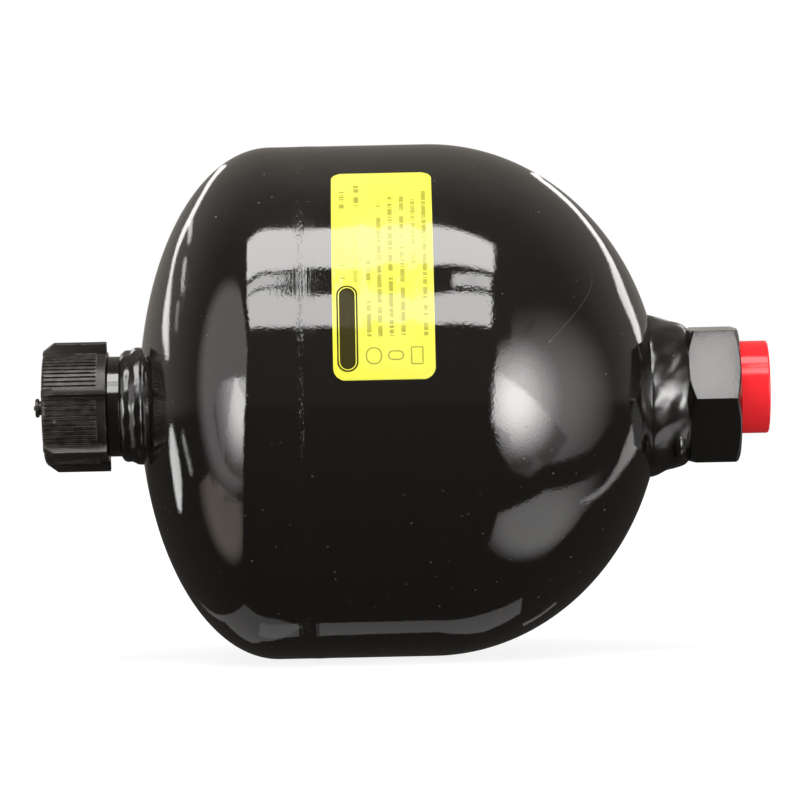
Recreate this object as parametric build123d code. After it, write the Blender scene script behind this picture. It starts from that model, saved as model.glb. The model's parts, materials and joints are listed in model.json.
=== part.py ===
from build123d import *
from math import cos, radians, sin, sqrt
import os

# Welded hydraulic accumulator of about two litres: a steel pressure vessel of two
# halves, with a rubber separator clamped inside it, a gas neck with its charging
# screw and cap at one end and a threaded fluid port at the other.
#
# Frame: millimetres, the vessel's axis along X, +X towards the fluid port, +Z up.
# The origin is on the axis, in the middle of the plain band that a clamp holds.

os.makedirs("parts", exist_ok=True)

# ---- Driving dimensions -------------------------------------------------------

# Pressure vessel
VESSEL_RADIUS = 80.0
WALL = 5.0
SEAT_LENGTH = 33.8        # plain band between the girth weld and the fluid dome
GAS_SKIRT_LENGTH = 7.8    # plain band between the girth weld and the gas dome
GAS_DOME_DEPTH = 42.3     # both domes are half ellipses, the gas one flatter
FLUID_DOME_DEPTH = 72.0

# Girth weld that joins the halves
GIRTH_WELD_WIDTH = 6.9
GIRTH_ROOT_WIDTH = 2.4
GIRTH_CROWN = 0.12        # ground nearly flush

# Gas neck
NECK_RADIUS = 15.65
NECK_STANDOFF = 9.7       # from the dome's top to the shoulder under the cap
NECK_INSIDE = 2.0         # how far it reaches into the gas space
STUB_RADIUS = 14.0        # threaded stub, M28
STUB_LENGTH = 16.0
STUB_CHAMFER = 1.0
GAS_PASSAGE_RADIUS = 3.0

# Charging screw in the neck, with a flat seal under its head
SCREW_RADIUS = 8.0        # M16
SCREW_LENGTH = 10.0
SCREW_HEAD_RADIUS = 10.0
SCREW_HEAD_HEIGHT = 3.0
SCREW_SOCKET_FLATS = 6.0
SCREW_SOCKET_DEPTH = 5.0
SEAL_HEIGHT = 1.2
SCREW_CLEARANCE = 0.06
HEAD_CLEARANCE = 0.3

# Protective cap over the neck
CAP_CLEARANCE = 0.08
CAP_WALL = 2.92           # from the bore to the floor of the grooves
CAP_RIB_HEIGHT = 0.7      # above the grooves
CAP_RIB_COUNT = 72
CAP_RIB_SHARE = 0.5       # of each pitch that stands proud
CAP_RIM_HEIGHT = 0.3      # of the plain rim band, above the grooves
CAP_RIM_LENGTH = 3.1
CAP_END_WALL = 2.5
CAP_END_GAP = 1.5         # between the stub's end and the cap's end wall
CAP_EDGE = 0.5
WING_COUNT = 6
WING_HEIGHT = 3.8         # above the grooves
WING_THICKNESS = 2.5
WING_TURN = 14.4          # degrees, of the wing nearest the front, above level
WING_CHAMFER_LENGTH = 3.5
WING_CHAMFER_HEIGHT = 2.7
NUB_STEM_RADIUS = 2.2
NUB_STEM_LENGTH = 1.8
NUB_FLANGE_RADIUS = 2.95
NUB_FLANGE_LENGTH = 1.1
NUB_TIP_RADIUS = 0.75
NUB_TIP_LENGTH = 0.6

# Fluid port
SHANK_RADIUS = 17.0       # round part that goes through the dome
HEX_FLATS = 41.0
HEX_STANDOFF = 7.5        # from the dome's top to the hexagon
HEX_LENGTH = 16.9
HEX_TURN = 4.0            # degrees, of the edge nearest the front, below level
HEX_END_INSET = 0.6       # of the chamfers' end circle, inside the flats
HEX_FRONT_CHAMFER = 1.6
HEX_REAR_CHAMFER = 2.8
PORT_POCKET_DEPTH = 2.7   # room for the separator's button inside the dome's wall
PORT_PASSAGE_RADIUS = 6.0
PORT_THREAD_RADIUS = 12.06  # G 3/4, minor
PORT_THREAD_LENGTH = 18.0
PORT_LEAD_IN_STEP = 1.34  # plain lead-in before the thread, that much wider
PORT_LEAD_IN_DEPTH = 6.0

# Transport plug in the fluid port
PLUG_HEAD_OVERHANG = 1.05 # beyond the lead-in's radius
PLUG_HEAD_LENGTH = 9.2
PLUG_EDGE = 0.7
PLUG_OFFSET = 2.0         # it sits high in the mouth
PLUG_SPIGOT_GAP = 0.4     # between the spigot's end and the thread
PLUG_CLEARANCE = 0.05
PLUG_WALL = 1.7

# Weld beads at the neck and the port
WELD_CLEARANCE = 0.1      # radial gap between a stub and its hole, under the bead
NECK_WELD_TOP_LEG = 0.75  # how far the bead's top and toe stand out from the neck
NECK_WELD_TOE_LEG = 3.05
NECK_WELD_HEIGHT = 5.9    # from the dome's top up the neck
NECK_WELD_RIPPLES = 15
PORT_WELD_TOP_LEG = 4.0   # the same for the port's shank
PORT_WELD_TOE_LEG = 8.6
PORT_WELD_RIPPLES = 19
PORT_WELD_STOP_RADIUS = 5.4   # the large lump where the bead was finished
PORT_WELD_STOP_PROUD = 2.2
PORT_WELD_STOP_BACK = 2.7     # of its centre, behind the hexagon
PORT_WELD_STOP_TURN = 222.0   # degrees about the axis, from straight up
WELD_RIPPLE = 0.35        # how far a bead's ripples rise and fall
WELD_SWAY = 0.3           # slower rise and fall of a bead
WELD_SWAYS = 3            # how often the slow one comes on the way round
WELD_OUTLINE_POINTS = 4   # for each ripple
WELD_CROWN = 0.9          # how far a bead's middle stands proud of a straight cone
WELD_SINK = 3.0           # how far a bead's section is drawn into the dome's wall

# Rubber separator
FILM = 2.4
FILM_CLEARANCE = 0.4
BEAD_WIDTH = 5.0
BEAD_FILLET = 1.2
BEAD_GROOVE_DEPTH = 1.0
BEAD_CLEARANCE = 0.1
FOLD_FLARE_LENGTH = 9.0

# Clamping ring that holds the separator's bead and backs the girth weld
RING_LENGTH = 16.5
RING_FLANGE_THICKNESS = 4.3
RING_LIP_THICKNESS = 1.8
RING_LIP_REACH = 2.6
RING_CLEARANCE = 0.1

# Closing button at the separator's centre
BUTTON_FLANGE_RADIUS = 13.5
BUTTON_FLANGE_HEIGHT = 2.3
BUTTON_NECK_RADIUS = 8.0
BUTTON_HEAD_RADIUS = 11.0
BUTTON_HEAD_HEIGHT = 2.6
BUTTON_CLEARANCE = 0.3
BUTTON_HEAD_GAP = 1.2     # between the head and the film, at rest

# Rating label
LABEL_LENGTH = 30.4       # along the axis
LABEL_START = 4.8         # from the girth weld
LABEL_ARC = 55.6          # degrees of the vessel's circle
LABEL_TURN = 32.3         # degrees, of its middle, above the front
LABEL_CORNER = 3.4
LABEL_THICKNESS = 0.08    # from the steel to the film's face
LABEL_GLUE = 0.02         # of that, under the film

QUARTER_TURN = 90.0
FULL_TURN = 360.0

# ---- Stations along the axis ---------------------------------------------------

girth_right_x = -SEAT_LENGTH / 2
girth_left_x = girth_right_x - GIRTH_WELD_WIDTH
joint_x = girth_right_x - GIRTH_WELD_WIDTH / 2
gas_tangent_x = girth_left_x - GAS_SKIRT_LENGTH
gas_top_x = gas_tangent_x - GAS_DOME_DEPTH
fluid_tangent_x = SEAT_LENGTH / 2
fluid_top_x = fluid_tangent_x + FLUID_DOME_DEPTH

shoulder_x = gas_top_x - NECK_STANDOFF
stub_end_x = shoulder_x - STUB_LENGTH
cap_end_x = stub_end_x - CAP_END_GAP - CAP_END_WALL
hex_rear_x = fluid_top_x + HEX_STANDOFF
port_face_x = hex_rear_x + HEX_LENGTH
port_seat_x = fluid_top_x - WALL + PORT_POCKET_DEPTH
thread_mouth_x = port_face_x - PORT_LEAD_IN_DEPTH
thread_floor_x = thread_mouth_x - PORT_THREAD_LENGTH

bead_left_x = gas_tangent_x + BEAD_CLEARANCE
bead_right_x = bead_left_x + BEAD_WIDTH
ring_right_x = bead_right_x + BEAD_CLEARANCE + RING_LENGTH

# ---- Radii that follow from a neighbour's --------------------------------------

inner_radius = VESSEL_RADIUS - WALL
groove_radius = inner_radius + BEAD_GROOVE_DEPTH
ring_radius = inner_radius - RING_CLEARANCE
ring_step_radius = ring_radius - RING_FLANGE_THICKNESS
ring_lip_radius = ring_step_radius - RING_LIP_THICKNESS
fold_radius = ring_lip_radius - FILM_CLEARANCE   # where the film passes inside the ring
bead_radius = groove_radius - BEAD_CLEARANCE
bead_floor_radius = ring_step_radius + BEAD_CLEARANCE

cap_bore_radius = STUB_RADIUS + CAP_CLEARANCE
cap_groove_radius = cap_bore_radius + CAP_WALL
cap_rib_radius = cap_groove_radius + CAP_RIB_HEIGHT
cap_rim_radius = cap_groove_radius + CAP_RIM_HEIGHT
wing_radius = cap_groove_radius + WING_HEIGHT

lead_in_radius = PORT_THREAD_RADIUS + PORT_LEAD_IN_STEP
plug_head_radius = lead_in_radius + PLUG_HEAD_OVERHANG


# ---- Helpers -------------------------------------------------------------------

def turned(points):
    """Solid turned about the X axis from an outline of (x, radius) points."""
    return revolve(make_face(Polyline(*points, close=True)), Axis.X)


def rod(radius, start_x, end_x):
    """Round bar on the X axis."""
    bar = Rot(0, QUARTER_TURN, 0) * Cylinder(radius, end_x - start_x)
    return Pos((start_x + end_x) / 2, 0, 0) * bar


def half_vessel(tangent_x, flat_x, dome_depth, radius):
    """Solid half of the vessel: a plain band from flat_x, closed by a half-ellipse dome.

    A positive dome_depth points the dome towards +X, a negative one towards -X.
    """
    start_turn = 0 if dome_depth > 0 else QUARTER_TURN
    dome = EllipticalCenterArc((tangent_x, 0), abs(dome_depth), radius, start_turn,
                               arc_size=QUARTER_TURN)
    top = (tangent_x + dome_depth, 0)
    band = Polyline(top, (flat_x, 0), (flat_x, radius), (tangent_x, radius))
    return revolve(make_face([dome, *band.edges()]), Axis.X)


def dome_x(tangent_x, dome_depth, radius, at_radius):
    """Where a dome's surface stands on X at some distance from the axis."""
    return tangent_x + dome_depth * sqrt(1 - (at_radius / radius) ** 2)


def around(x, radius, turn):
    """Point on a circle about X; turn is in degrees from straight up, towards the back."""
    return (x, radius * sin(radians(turn)), radius * cos(radians(turn)))


def one(shape):
    """The single solid of a boolean's result."""
    return shape.solid()


def ripple_outline(x, radius, ripples):
    """Closed wavy outline across the axis, as a hand-laid weld bead has."""
    points = []
    count = ripples * WELD_OUTLINE_POINTS
    for i in range(count):
        turn = i * FULL_TURN / count
        ripple = WELD_RIPPLE * sin(radians(turn * ripples))
        sway = WELD_SWAY * sin(radians(turn * WELD_SWAYS))
        points.append(around(x, radius + ripple + sway, turn))
    return make_face(Spline(*points, periodic=True))


def bead(toe_x, toe_radius, top_x, top_radius, ripples):
    """Solid cone with a crowned, rippled side, from a bead's toe on the dome to its top."""
    middle_radius = (toe_radius + top_radius) / 2 + WELD_CROWN
    return loft([
        ripple_outline(toe_x, toe_radius, ripples),
        ripple_outline((toe_x + top_x) / 2, middle_radius, ripples),
        ripple_outline(top_x, top_radius, ripples),
    ])


# ---- Pressure vessel -----------------------------------------------------------

def girth_weld():
    """Weld that fills the V groove between the halves."""
    root = GIRTH_ROOT_WIDTH / 2
    crown = VESSEL_RADIUS + GIRTH_CROWN
    return turned([
        (joint_x - root, inner_radius),
        (joint_x + root, inner_radius),
        (girth_right_x, VESSEL_RADIUS),
        (joint_x + root, crown),
        (joint_x - root, crown),
        (girth_left_x, VESSEL_RADIUS),
    ])


def gas_shell():
    """Half with the flatter dome, bored for the neck and grooved for the separator's bead."""
    inner_depth = GAS_DOME_DEPTH - WALL
    shell = half_vessel(gas_tangent_x, joint_x, -GAS_DOME_DEPTH, VESSEL_RADIUS)
    shell -= half_vessel(gas_tangent_x, joint_x, -inner_depth, inner_radius)
    shell -= rod(NECK_RADIUS + WELD_CLEARANCE, gas_top_x - WALL, gas_tangent_x)
    shell -= rod(groove_radius, gas_tangent_x, bead_right_x + BEAD_CLEARANCE)
    return one(shell - girth_weld())


def fluid_shell():
    """Half with the deeper dome, bored for the port."""
    inner_depth = FLUID_DOME_DEPTH - WALL
    shell = half_vessel(fluid_tangent_x, joint_x, FLUID_DOME_DEPTH, VESSEL_RADIUS)
    shell -= half_vessel(fluid_tangent_x, joint_x, inner_depth, inner_radius)
    shell -= rod(SHANK_RADIUS + WELD_CLEARANCE, fluid_tangent_x, fluid_top_x + WALL)
    return one(shell - girth_weld())


# ---- Gas end -------------------------------------------------------------------

def gas_neck():
    """Turned neck with a threaded stub outside and the charging screw's seat inside."""
    inner_x = gas_top_x + WALL + NECK_INSIDE
    head_depth = SCREW_HEAD_HEIGHT + SEAL_HEIGHT
    neck = rod(NECK_RADIUS, shoulder_x, inner_x) + turned([
        (shoulder_x, 0),
        (stub_end_x, 0),
        (stub_end_x, STUB_RADIUS - STUB_CHAMFER),
        (stub_end_x + STUB_CHAMFER, STUB_RADIUS),
        (shoulder_x, STUB_RADIUS),
    ])
    neck -= rod(SCREW_HEAD_RADIUS + HEAD_CLEARANCE, stub_end_x, stub_end_x + head_depth)
    hole_end_x = stub_end_x + head_depth + SCREW_LENGTH + HEAD_CLEARANCE
    neck -= rod(SCREW_RADIUS + SCREW_CLEARANCE, stub_end_x, hole_end_x)
    return one(neck - rod(GAS_PASSAGE_RADIUS, stub_end_x, inner_x))


def neck_weld(shell):
    """Rippled fillet bead between the neck and the gas dome."""
    top_x = gas_top_x - NECK_WELD_HEIGHT
    top_radius = NECK_RADIUS + NECK_WELD_TOP_LEG
    toe_radius = NECK_RADIUS + NECK_WELD_TOE_LEG
    root_x = dome_x(gas_tangent_x, -GAS_DOME_DEPTH, VESSEL_RADIUS, toe_radius) + WELD_SINK
    weld = bead(root_x, toe_radius, top_x, top_radius, NECK_WELD_RIPPLES)
    return one(weld - rod(NECK_RADIUS, stub_end_x, root_x + WELD_SINK) - shell)


def charging_screw():
    """Socket screw that shuts the gas passage."""
    under_head_x = stub_end_x + SCREW_HEAD_HEIGHT
    thread_start_x = under_head_x + SEAL_HEIGHT
    screw = rod(SCREW_HEAD_RADIUS, stub_end_x, under_head_x)
    screw += rod(SCREW_RADIUS, under_head_x, thread_start_x + SCREW_LENGTH)
    socket = RegularPolygon(SCREW_SOCKET_FLATS / 2, 6, major_radius=False)
    socket = extrude(Plane.YZ.offset(stub_end_x) * socket, SCREW_SOCKET_DEPTH)
    return one(screw - socket)


def charging_screw_seal():
    """Flat seal ring between the screw's head and the neck."""
    start_x = stub_end_x + SCREW_HEAD_HEIGHT
    seal = rod(SCREW_HEAD_RADIUS, start_x, start_x + SEAL_HEIGHT)
    bore = rod(SCREW_RADIUS + SCREW_CLEARANCE, start_x, start_x + SEAL_HEIGHT)
    return one(seal - bore)


def grip_section():
    """Cross-section of the cap's ribbed grip: a gear-like ring of flat-topped ribs."""
    points = []
    pitch = FULL_TURN / CAP_RIB_COUNT
    half_top = pitch * CAP_RIB_SHARE / 2
    flank = (pitch / 2 - half_top) / 2
    for i in range(CAP_RIB_COUNT):
        middle = WING_TURN + i * pitch
        for step, radius in (
            (-half_top - flank, cap_groove_radius),
            (-half_top, cap_rib_radius),
            (half_top, cap_rib_radius),
            (half_top + flank, cap_groove_radius),
        ):
            angle = radians(middle + step)
            points.append((radius * cos(angle), radius * sin(angle)))
    return make_face(Polyline(*points, close=True))


def wing(turn):
    """One of the cap's wings: a flat blade along X with its closed-end corner cut off."""
    blade = make_face(Polyline(
        (shoulder_x, cap_bore_radius),
        (shoulder_x, wing_radius),
        (cap_end_x + WING_CHAMFER_LENGTH, wing_radius),
        (cap_end_x, wing_radius - WING_CHAMFER_HEIGHT),
        (cap_end_x, cap_bore_radius),
        close=True,
    ))
    blade = extrude(blade, WING_THICKNESS / 2, both=True)
    return Rot(turn, 0, 0) * blade


def valve_cap():
    """Moulded screw cap with a ribbed, winged grip and a small nub on its closed end."""
    rim_x = shoulder_x - CAP_RIM_LENGTH
    cap = extrude(Plane.YZ.offset(cap_end_x) * grip_section(), rim_x - cap_end_x)
    cap &= turned([
        (cap_end_x, 0),
        (cap_end_x, cap_rib_radius - CAP_EDGE),
        (cap_end_x + CAP_EDGE, cap_rib_radius),
        (rim_x, cap_rib_radius),
        (rim_x, 0),
    ])
    cap += rod(cap_rim_radius, rim_x, shoulder_x)
    for i in range(WING_COUNT):
        cap += wing(FULL_TURN / 2 - WING_TURN + i * FULL_TURN / WING_COUNT)
    cap -= rod(cap_bore_radius, cap_end_x + CAP_END_WALL, shoulder_x)
    flange_x = cap_end_x - NUB_STEM_LENGTH
    tip_x = flange_x - NUB_FLANGE_LENGTH
    cap += rod(NUB_STEM_RADIUS, flange_x, cap_end_x)
    cap += rod(NUB_FLANGE_RADIUS, tip_x, flange_x)
    return one(cap + rod(NUB_TIP_RADIUS, tip_x - NUB_TIP_LENGTH, tip_x))


# ---- Fluid end -----------------------------------------------------------------

def fluid_port():
    """Port body: a shank through the dome and a hexagon bored and threaded for a fitting."""
    hexagon = RegularPolygon(HEX_FLATS / 2, 6, major_radius=False, rotation=HEX_TURN)
    corner_radius = HEX_FLATS / sqrt(3)
    end_radius = HEX_FLATS / 2 - HEX_END_INSET
    body = extrude(Plane.YZ.offset(hex_rear_x) * hexagon, HEX_LENGTH)
    body &= turned([
        (hex_rear_x, 0),
        (hex_rear_x, end_radius),
        (hex_rear_x + HEX_REAR_CHAMFER, corner_radius),
        (port_face_x - HEX_FRONT_CHAMFER, corner_radius),
        (port_face_x, end_radius),
        (port_face_x, 0),
    ])
    body += rod(SHANK_RADIUS, port_seat_x, hex_rear_x)
    body -= rod(PORT_PASSAGE_RADIUS, port_seat_x, thread_floor_x)
    body -= rod(PORT_THREAD_RADIUS, thread_floor_x, thread_mouth_x)
    return one(body - rod(lead_in_radius, thread_mouth_x, port_face_x))


def port_weld(shell, port):
    """Rippled fillet bead between the port's shank and the fluid dome, with its end lump."""
    top_radius = SHANK_RADIUS + PORT_WELD_TOP_LEG
    toe_radius = SHANK_RADIUS + PORT_WELD_TOE_LEG
    root_x = dome_x(fluid_tangent_x, FLUID_DOME_DEPTH, VESSEL_RADIUS, toe_radius) - WELD_SINK
    weld = bead(root_x, toe_radius, hex_rear_x, top_radius, PORT_WELD_RIPPLES)
    middle_radius = (top_radius + toe_radius) / 2
    stop_radius = middle_radius + PORT_WELD_STOP_PROUD - PORT_WELD_STOP_RADIUS
    stop = around(hex_rear_x - PORT_WELD_STOP_BACK, stop_radius, PORT_WELD_STOP_TURN)
    weld += Pos(*stop) * Sphere(PORT_WELD_STOP_RADIUS)
    return one(weld - rod(SHANK_RADIUS, root_x - WELD_SINK, port_face_x) - port - shell)


def port_plug():
    """Moulded push-in plug: a hollow head and a spigot that sits in the port's lead-in."""
    spigot_radius = lead_in_radius - PLUG_OFFSET - PLUG_CLEARANCE
    spigot_x = thread_mouth_x + PLUG_SPIGOT_GAP
    head_x = port_face_x + PLUG_HEAD_LENGTH
    plug = turned([
        (spigot_x, 0),
        (spigot_x, spigot_radius),
        (port_face_x, spigot_radius),
        (port_face_x, plug_head_radius),
        (head_x - PLUG_EDGE, plug_head_radius),
        (head_x, plug_head_radius - PLUG_EDGE),
        (head_x, 0),
    ])
    plug -= rod(plug_head_radius - PLUG_WALL, port_face_x + PLUG_WALL, head_x)
    plug -= rod(spigot_radius - PLUG_WALL, spigot_x + PLUG_WALL, head_x)
    return one(Pos(0, 0, PLUG_OFFSET) * plug)


# ---- Inside the vessel -----------------------------------------------------------

def clamping_ring():
    """Stepped steel ring: its flange backs the girth weld and its lip grips the bead."""
    flange_x = bead_right_x + BEAD_CLEARANCE
    return one(turned([
        (flange_x, ring_radius),
        (flange_x, ring_step_radius),
        (flange_x - RING_LIP_REACH, ring_step_radius),
        (flange_x - RING_LIP_REACH, ring_lip_radius),
        (ring_right_x, ring_lip_radius),
        (ring_right_x, ring_radius),
    ]))


def separator():
    """Moulded rubber diaphragm, pressed against the fluid dome by the gas behind it."""
    outer_gap = WALL + FILM_CLEARANCE
    inner_gap = outer_gap + FILM
    flare_x = ring_right_x + FOLD_FLARE_LENGTH
    film = half_vessel(fluid_tangent_x, flare_x, FLUID_DOME_DEPTH - outer_gap,
                       VESSEL_RADIUS - outer_gap)
    film -= half_vessel(fluid_tangent_x, flare_x, FLUID_DOME_DEPTH - inner_gap,
                        VESSEL_RADIUS - inner_gap)
    fold = fold_radius - FILM
    film += turned([
        (bead_left_x, fold),
        (bead_left_x, fold_radius),
        (ring_right_x + FILM_CLEARANCE, fold_radius),
        (flare_x, VESSEL_RADIUS - outer_gap),
        (flare_x, VESSEL_RADIUS - inner_gap),
        (ring_right_x + FILM_CLEARANCE + FILM, fold),
    ])
    web_right_x = bead_right_x - RING_LIP_REACH - BEAD_CLEARANCE
    web = turned([
        (bead_left_x, fold),
        (bead_left_x, bead_floor_radius + BEAD_FILLET),
        (web_right_x, bead_floor_radius + BEAD_FILLET),
        (web_right_x, fold),
    ])
    rim = turned([
        (bead_left_x, bead_floor_radius),
        (bead_left_x, bead_radius - BEAD_FILLET),
        (bead_left_x + BEAD_FILLET, bead_radius),
        (bead_right_x - BEAD_FILLET, bead_radius),
        (bead_right_x, bead_radius - BEAD_FILLET),
        (bead_right_x, bead_floor_radius),
    ])
    film = film + web + rim
    return one(film - rod(BUTTON_NECK_RADIUS + BUTTON_CLEARANCE, fluid_tangent_x, fluid_top_x))


def closing_button():
    """Spool-shaped button in the separator's centre; its flange covers the port's passage."""
    flange_x = port_seat_x - BUTTON_CLEARANCE
    flange_back_x = flange_x - BUTTON_FLANGE_HEIGHT
    film_back_x = fluid_top_x - WALL - FILM_CLEARANCE - FILM
    head_x = film_back_x - BUTTON_HEAD_GAP
    return one(turned([
        (flange_x, 0),
        (flange_x, BUTTON_FLANGE_RADIUS),
        (flange_back_x, BUTTON_FLANGE_RADIUS),
        (flange_back_x, BUTTON_NECK_RADIUS),
        (head_x, BUTTON_NECK_RADIUS),
        (head_x, BUTTON_HEAD_RADIUS),
        (head_x - BUTTON_HEAD_HEIGHT, BUTTON_HEAD_RADIUS),
        (head_x - BUTTON_HEAD_HEIGHT, 0),
    ]))


# ---- Label ---------------------------------------------------------------------

def rating_label():
    """Thin sticker wrapped on the plain band, with rounded corners."""
    inner = VESSEL_RADIUS + LABEL_GLUE
    outer = VESSEL_RADIUS + LABEL_THICKNESS
    start_x = girth_right_x + LABEL_START
    middle_x = start_x + LABEL_LENGTH / 2
    skin = rod(outer, start_x, start_x + LABEL_LENGTH)
    skin -= rod(inner, start_x, start_x + LABEL_LENGTH)
    chord = 2 * VESSEL_RADIUS * sin(radians(LABEL_ARC / 2))
    outline = RectangleRounded(LABEL_LENGTH, chord, LABEL_CORNER)
    cutter = extrude(Plane.XY * outline, outer + LABEL_CORNER)
    cutter = Pos(middle_x, 0, 0) * Rot(QUARTER_TURN - LABEL_TURN, 0, 0) * cutter
    return one(skin & cutter)


# ---- Build ---------------------------------------------------------------------

gas_half = gas_shell()
fluid_half = fluid_shell()
port = fluid_port()

pieces = {
    "gas_shell": gas_half,
    "fluid_shell": fluid_half,
    "girth_weld": one(girth_weld()),
    "gas_neck": gas_neck(),
    "gas_neck_weld": neck_weld(gas_half),
    "charging_screw": charging_screw(),
    "charging_screw_seal": charging_screw_seal(),
    "valve_cap": valve_cap(),
    "fluid_port": port,
    "fluid_port_weld": port_weld(fluid_half, port),
    "port_plug": port_plug(),
    "clamping_ring": clamping_ring(),
    "separator": separator(),
    "closing_button": closing_button(),
    "rating_label": rating_label(),
}

for name, piece in pieces.items():
    piece.label = name
    export_step(piece, f"parts/{name}.step")
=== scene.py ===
# %% [markdown]
# A welded hydraulic accumulator, given its finish and its light. The steel shapes,
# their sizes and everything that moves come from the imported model, which loads first
# as the frame. This script builds finer pieces over it and gives each surface its
# finish. Lengths are in metres, so a size in millimetres is written as 5 * MM.

# %% Load the frame
import json
import math

import bmesh
import bpy
from mathutils import Matrix, Vector, noise


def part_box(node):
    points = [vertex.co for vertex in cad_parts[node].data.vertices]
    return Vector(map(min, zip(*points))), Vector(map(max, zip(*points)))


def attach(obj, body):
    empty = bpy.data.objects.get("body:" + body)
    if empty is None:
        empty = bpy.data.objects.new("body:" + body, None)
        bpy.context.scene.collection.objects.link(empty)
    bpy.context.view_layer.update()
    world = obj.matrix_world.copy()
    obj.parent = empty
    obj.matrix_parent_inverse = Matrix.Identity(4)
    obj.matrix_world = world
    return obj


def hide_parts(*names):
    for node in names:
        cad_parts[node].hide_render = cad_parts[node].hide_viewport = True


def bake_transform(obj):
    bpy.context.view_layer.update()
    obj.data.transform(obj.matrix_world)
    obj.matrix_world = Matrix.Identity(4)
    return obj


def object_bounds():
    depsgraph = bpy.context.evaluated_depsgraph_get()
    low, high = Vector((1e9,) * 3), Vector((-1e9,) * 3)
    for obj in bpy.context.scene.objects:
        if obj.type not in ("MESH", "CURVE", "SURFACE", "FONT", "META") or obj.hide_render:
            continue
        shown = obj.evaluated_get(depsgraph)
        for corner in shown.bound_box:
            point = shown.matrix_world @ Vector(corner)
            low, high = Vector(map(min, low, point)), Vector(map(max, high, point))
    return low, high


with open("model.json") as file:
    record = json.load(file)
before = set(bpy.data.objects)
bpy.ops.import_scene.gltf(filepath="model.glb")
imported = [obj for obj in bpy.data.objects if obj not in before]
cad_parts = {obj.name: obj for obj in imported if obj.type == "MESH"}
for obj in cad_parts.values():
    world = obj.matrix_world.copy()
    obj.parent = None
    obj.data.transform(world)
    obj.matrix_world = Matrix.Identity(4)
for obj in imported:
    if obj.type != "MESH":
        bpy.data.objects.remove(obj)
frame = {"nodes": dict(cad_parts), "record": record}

MM = 0.001
FULL_TURN = math.radians(360)
QUARTER_TURN = math.radians(90)
cad_low, cad_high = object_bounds()

# %% [markdown]
# The stations along the axis are read from the frame, so that the finer pieces land
# where the plain ones are. Only what no box can tell, such as how deep each domed end
# is drawn or how wide a bore is, is written here again.

# %% Stations along the axis, and the main sizes
VESSEL_RADIUS = 80 * MM
WALL = 5 * MM
GAS_SKIRT = 7.8 * MM       # plain band beside the girth weld, on the gas half
CLAMP_BAND = 33.8 * MM     # plain band that the clamp holds
GAS_DOME = 42.3 * MM
FLUID_DOME = 72 * MM
inner_radius = VESSEL_RADIUS - WALL

weld_left_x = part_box("girth_weld")[0].x
weld_right_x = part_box("girth_weld")[1].x
joint_x = (weld_left_x + weld_right_x) / 2
gas_tangent_x = weld_left_x - GAS_SKIRT
fluid_tangent_x = weld_right_x + CLAMP_BAND
gas_top_x = gas_tangent_x - GAS_DOME
fluid_top_x = fluid_tangent_x + FLUID_DOME
print("vessel radius %.1f mm, over the domes %.1f mm" % (
    VESSEL_RADIUS / MM, (fluid_top_x - gas_top_x) / MM))

# %% [markdown]
# The camera stands level with the vessel's axis, square to it and about a metre and
# a half away, with a long lens. The vessel was put down with its fluid end a touch
# high, so the camera is rolled by that much instead of moving the frame.

# %% Camera
CAMERA_DISTANCE = 1.5
CAMERA_HEIGHT = 0.2 * MM
LENS = 215.7               # mm, on a 36 mm sensor
ROLL = math.radians(1.2)

camera_x = (gas_top_x + fluid_top_x) / 2
bpy.ops.object.camera_add(
    location=(camera_x, -CAMERA_DISTANCE, CAMERA_HEIGHT),
    rotation=(QUARTER_TURN, ROLL, 0),
)
camera = bpy.context.object
camera.name = "camera"
camera.data.lens = LENS
bpy.context.scene.camera = camera
print("camera at", [round(c, 4) for c in camera.location])

# %% [markdown]
# Nearly everything here was turned on a lathe, pressed round or moulded round, so
# most pieces start the same way: the outline of a half section is drawn point by
# point from one vertex, as with a pen, and spun about the vessel's axis. Drawing the
# wall's inside and outside in one closed outline gives a piece with real thickness.
# A lathe outline beats a cylinder with loops cut into it, because every shoulder,
# chamfer and thread is one more point in a list.

# %% Helpers that add, draw and turn
MERGE = 0.001 * MM


def added(operator, name, **settings):
    """Run one of the add operators with nothing else selected, and name what it made."""
    bpy.context.tool_settings.mesh_select_mode = [True, False, False]
    bpy.ops.object.select_all(action="DESELECT")
    operator(**settings)
    piece = bpy.context.object
    piece.name = piece.data.name = name
    return piece


def drawing(name):
    """An empty mesh object, left in edit mode to be drawn in."""
    piece = added(bpy.ops.mesh.primitive_plane_add, name, size=MM)
    bpy.ops.object.mode_set(mode="EDIT")
    bpy.ops.mesh.select_all(action="SELECT")
    bpy.ops.mesh.delete(type="VERT")
    return piece


def pen_line(points):
    """In edit mode: draw one more line of edges through points, as with a pen."""
    bpy.ops.mesh.select_all(action="DESELECT")
    bpy.ops.mesh.primitive_plane_add(size=MM)
    bpy.ops.mesh.merge(type="CENTER")
    pen = Vector(points[0])
    bpy.ops.transform.translate(value=pen)
    for point in points[1:]:
        stroke = Vector(point) - pen
        bpy.ops.mesh.extrude_region_move(TRANSFORM_OT_translate={"value": stroke})
        pen += stroke


def turned(name, outline, steps):
    """Piece turned about the X axis from an outline of (x, radius) points.

    An outline that starts and ends on the axis stays open there; any other is closed.
    """
    piece = drawing(name)
    on_axis = outline[0][1] == 0 and outline[-1][1] == 0
    pen_line([(x, 0, radius) for x, radius in outline + ([] if on_axis else outline[:1])])
    bpy.ops.mesh.select_all(action="SELECT")
    bpy.ops.mesh.remove_doubles(threshold=MERGE)
    bpy.ops.mesh.spin(steps=steps, angle=FULL_TURN, center=(0, 0, 0), axis=(1, 0, 0))
    bpy.ops.mesh.select_all(action="SELECT")
    bpy.ops.mesh.remove_doubles(threshold=MERGE)
    bpy.ops.mesh.normals_make_consistent(inside=False)
    bpy.ops.object.mode_set(mode="OBJECT")
    return piece

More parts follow.
